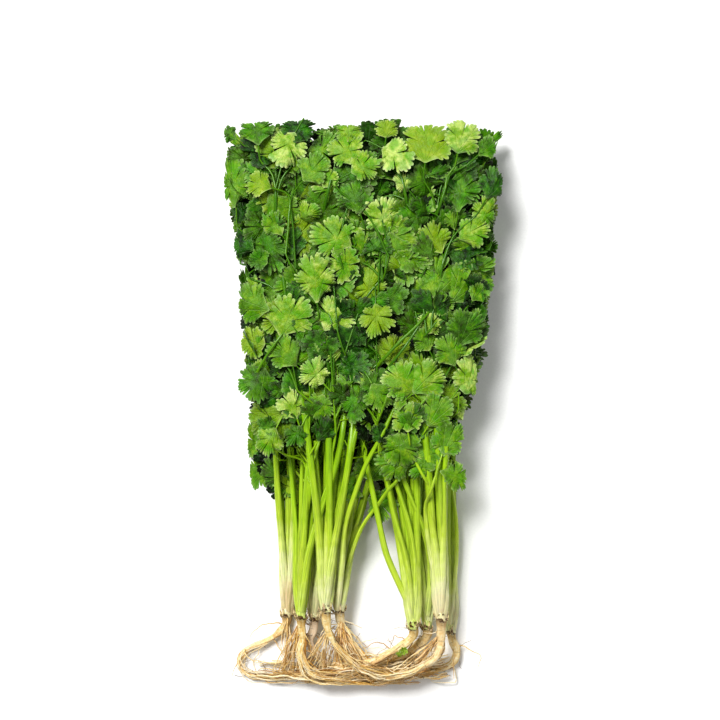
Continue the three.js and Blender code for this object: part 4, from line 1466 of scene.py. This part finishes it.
def addRoot(pile, plant, plantIndex):
    layer = plant["layer"]
    crownZ = layers[layer]["crown"]
    endZ = layout["rootLayerFoot"] + layout["rootLayerPitch"] * layer
    x, y = plant["crown"]
    places = [(x, y), *plant["root"]]
    spots = [(px, py, mix(crownZ, endZ, i / (len(places) - 1))) for i, (px, py) in enumerate(places)]
    tailZ = np.linspace(endZ, 3 + 2 * chance(plantIndex + 0.5), len(plant["tail"]) + 1)[1:]
    spots += [(px, py, tz) for (px, py), tz in zip(plant["tail"], tailZ)]
    path = wobble(smoothPath(spots, rootShape["spacing"]), plantIndex, 0.6)
    share = np.linspace(0, 1, len(path))
    reach = rootShape["topRadius"] - rootShape["tipRadius"]
    radii = rootShape["tipRadius"] + reach * (1 - share) ** plant.get("taper", rootShape["taper"])
    path = keepOnTable(path, radii)
    steps = np.arange(len(path))
    lumps = 1 + 0.07 * np.sin(steps * 1.1 + plantIndex) + 0.06 * np.sin(steps * 0.37 + plantIndex * 2)
    tone = 0.64 + swing(plantIndex + 0.4, 0.12)
    # Darker brown over the first few mm of the taproot, just below the crown.
    darkNearCrown = 0.9 * np.exp(-steps / 2)
    mood = np.stack([tone + 0.2 * share, np.full(len(path), plant["blush"]), darkNearCrown], 1)
    addTube(pile, path, radii * lumps, rootShape["sides"], mood, ribs=0.1, ribCount=3, twist=0.06)
    pull = 1 if x < 0 else -1
    for i in range(rootShape["strands"]):
        addStrand(pile, path, 1100 + plantIndex * 50 + i)
    for i in range(rootShape["rootlets"]):
        number = 5900 + plantIndex * 50 + i
        at = int(mix(0.04, 0.9, (i + chance(number)) / rootShape["rootlets"]) * (len(path) - 2))
        ahead = path[at + 1] - path[at]
        ahead /= np.linalg.norm(ahead)
        side = 1 if i % 2 else -1
        direction = ahead * 0.6 + np.array((-ahead[1], ahead[0], 0)) * side * 0.7
        direction[2] += swing(number + 0.2, 0.4)
        length = 9 + 20 * chance(number + 0.3)
        addRootlet(pile, path[at], direction, length, 0.2 + 0.28 * chance(number + 0.4), number, pull)
    for i in range(rootShape["hairs"]):
        number = 1700 + plantIndex * 50 + i
        at = int(mix(0.02, 0.5, chance(number)) * (len(path) - 2))
        direction = (swing(number + 0.1, 1), 0.5 + swing(number + 0.2, 0.7), swing(number + 0.3, 0.3))
        addRootlet(pile, path[at], direction, 6 + 9 * chance(number + 0.4), 0.14, number, 0, soil=0.8)


def addSheaves(piles):
    for k, sheaf in enumerate(sheaves):
        sx, sy, sz = sheaf["start"]
        (ax, ay, az), (bx, by, bz) = sheaf["ends"]
        for i in range(sheaf["count"]):
            number = 4000 + k * 60 + i
            across = chance(number)
            spread = (across - 0.5) * sheaf["width"]
            startX, startY = photoPlace(sx + spread * 0.6, sy + swing(number + 0.1, 4))
            start = np.array((startX, startY, sz + swing(number + 0.2, 1.5)))
            endX = mix(ax, bx, across) + swing(number + 0.3, 5)
            endY = mix(ay, by, across) + swing(number + 0.35, 5)
            end = np.array((*photoPlace(endX, endY), mix(az, bz, chance(number + 0.4))))
            bulge = np.array((swing(number + 0.5, 2.5), swing(number + 0.6, 1.5),
                              1.5 + swing(number + 0.7, 2)))
            side = 1 if chance(number + 0.75) < 0.6 else -1
            aside = side * (4 + 9 * chance(number + 0.77))
            tail = end + np.array((aside, -2.5 * chance(number + 0.78), -1.5))
            points = [start, mix(start, end, 0.35) + bulge, mix(start, end, 0.75) + bulge * 0.6, end, tail]
            path = keepOnTable(wobble(smoothPath(points, 2.0), number, 0.35))
            radius = 0.2 + 0.32 * chance(number + 0.8) ** 1.5
            addTube(piles[sheaf["plant"]]["roots"], path, np.linspace(radius, radius * 0.4, len(path)), 5,
                    rootMoodOf(number))


# The matted fibres along the bottom of the bunch, from one side's roots to the other's.
def addFloorStrands(piles):
    for i in range(rootShape["floorStrands"]):
        number = 2500 + i
        plantIndex = i % len(plants)
        start = mix(-64, 6, chance(number))
        length = 34 + 56 * chance(number + 0.1)
        xs = np.arange(start, min(start + length, 48), 3.0)
        share = np.linspace(0, 1, len(xs))
        low = -155.5 + 11 * chance(number + 0.2) ** 1.6
        bow = (xs + 8) / 56
        ys = low + 3.5 * bow * bow + 1.2 * np.sin(share * 9 + number) + 0.5 * np.sin(share * 31 + number)
        zs = 1 + 12 * chance(number + 0.3) * (1 - 0.6 * bow * bow) + np.sin(share * 7 + number)
        path = keepOnTable(np.stack([xs, ys, zs], 1))
        radius = 0.25 + 0.5 * chance(number + 0.4) ** 1.5
        radii = radius * (1 - 0.6 * np.abs(2 * share - 1) ** 3)
        addTube(piles[plantIndex]["roots"], path, radii, 6, rootMoodOf(number))


# A torn bit of leaf caught on plant 6's taproot.
def addCaughtLeaf(piles):
    for i, (px, py, size, degrees) in enumerate([(408, 650, 7, -110), (403, 656, 6, -70)]):
        number = 8300 + i
        place = photoPlace(px, py)
        addLeaflet(piles[5]["leaves"], place, 18.2, math.radians(degrees), size * layout["pixelSize"] * 1.3,
                   "star", (0.8, 0.5), number, "middle", leafMood(number, 0.6))


# Camera, floor and lights: the photograph's straight-on view becomes a view straight down.
stageSetup = {
    "photoCentre": (360, 360),
    "lens": 100.0,
    "sensor": 36.0,
    "viewWidth": 396.0,  # mm across the picture, 720 pixels of 0.55 mm
    "focusHeight": 22.0,
    "floorSize": 14.0,
    "keyPower": 261.0,
    "fillPower": 27.0,
    "skyStrength": 0.26,
}


# Matt white card: pressed paper. The eye gets an even pale ground with no shine.
def floorMaterial():
    return materialFrom("mattWhiteCard", {
        "where": ("TexCoord", {}),
        "grain": ("TexNoise", {"Scale": 900.0, "Detail": 2.0}, {"Vector": "where.Object"}),
        "tint": ("ValToRGB", {"stops": [(0.3, "#f2f2f1"), (0.7, "#f7f7f6")]}, {"Fac": "grain.Fac"}),
        "shader": ("BsdfPrincipled", {"Roughness": 0.9}, {"Base Color": "tint.Color"}),
        "out": ("OutputMaterial", {}, {"Surface": "shader.BSDF"}),
    })


def setStage():
    s = stageSetup
    scene = bpy.context.scene
    cx, cy = photoPlace(*s["photoCentre"])
    cx = (cx + layout["shift"][0]) * mm
    cy = (cy + layout["shift"][1]) * mm
    lens = bpy.data.cameras.new("camera")
    lens.lens, lens.sensor_width = s["lens"], s["sensor"]
    camera = bpy.data.objects.new("camera", lens)
    camera.location = (cx, cy, s["viewWidth"] * mm * s["lens"] / s["sensor"] + s["focusHeight"] * mm)
    scene.collection.objects.link(camera)
    scene.camera = camera

    half = s["floorSize"] / 2
    mesh = bpy.data.meshes.new("floor")
    corners = [(-half, -half, 0), (half, -half, 0), (half, half, 0), (-half, half, 0)]
    mesh.from_pydata(corners, [], [(0, 1, 2, 3)])
    mesh.materials.append(floorMaterial())
    floor = bpy.data.objects.new("floor", mesh)
    scene.collection.objects.link(floor)

    lights = [
        ("key", (-1.65, 2.25, 3.75), 1.8, s["keyPower"]),
        ("fill", (2.4, -1.5, 3.3), 3.6, s["fillPower"]),
    ]
    for name, place, size, power in lights:
        lamp = bpy.data.lights.new(name, "AREA")
        lamp.size = size
        lamp.energy = power
        light = bpy.data.objects.new(name, lamp)
        light.location = place
        light.rotation_euler = (-light.location).to_track_quat("-Z", "Y").to_euler()
        scene.collection.objects.link(light)

    world = bpy.data.worlds.new("softRoom")
    world.use_nodes = True
    sky = world.node_tree.nodes["Background"]
    sky.inputs["Color"].default_value = linear("#ffffff")
    sky.inputs["Strength"].default_value = s["skyStrength"]
    scene.world = world
    scene.view_settings.view_transform = "Standard"
    scene.view_settings.look = "Medium High Contrast"


print("materials")
leaf, stalk, root = leafMaterial(), stalkMaterial(), rootMaterial()

print("stalks and sprays")
piles = []
for index, plant in enumerate(plants):
    plantPiles = {"leaves": newPile(), "stalks": newPile(), "roots": newPile()}
    sprays, plantPiles["routes"] = ownStalks(plant, plantPiles)
    for spray in sprays:
        # Painted shade on the sprays inside the bunch, stronger on the lower layers than on the top one.
        darker = (0.3, 0.4, 0.5, 0.4, 0.12)[plant["layer"]] if spray["row"] < 4 else 0.0
        darker *= ease((halfWidthAt(spray["foot"][1]) - abs(spray["x"])) / 22)
        shows = plant["layer"] == topLayer or spray["row"] == lowRow
        addSpray(plantPiles, spray, "middle" if shows else "plain", darker)
    addCrown(plantPiles["stalks"], plant, index)
    addRoot(plantPiles["roots"], plant, index)
    piles.append(plantPiles)

print("loose leaves")
addTiers(piles)
addBackLeaves(piles)
addRim(piles)
addPhotoStalks(piles)
addFillStalks(piles)
addTopLeaves(piles)
addSheaves(piles)
addFloorStrands(piles)
addCaughtLeaf(piles)

print("pieces")
total = 0
for index, plantPiles in enumerate(piles):
    shoot, rootNode = f"plant_{index + 1}_shoot", f"plant_{index + 1}_root"
    pieceFrom(f"plant_{index + 1}_leaves", plantPiles["leaves"], leaf, [shoot])
    pieceFrom(f"plant_{index + 1}_stalks", plantPiles["stalks"], stalk, [shoot])
    pieceFrom(f"plant_{index + 1}_taproot", plantPiles["roots"], root, [rootNode])
    counts = [triangleCount(plantPiles[key]) for key in ("leaves", "stalks", "roots")]
    total += sum(counts)
    print("plant", index + 1, "triangles", counts)
print("triangles in all", total)

print("stage")
setStage()
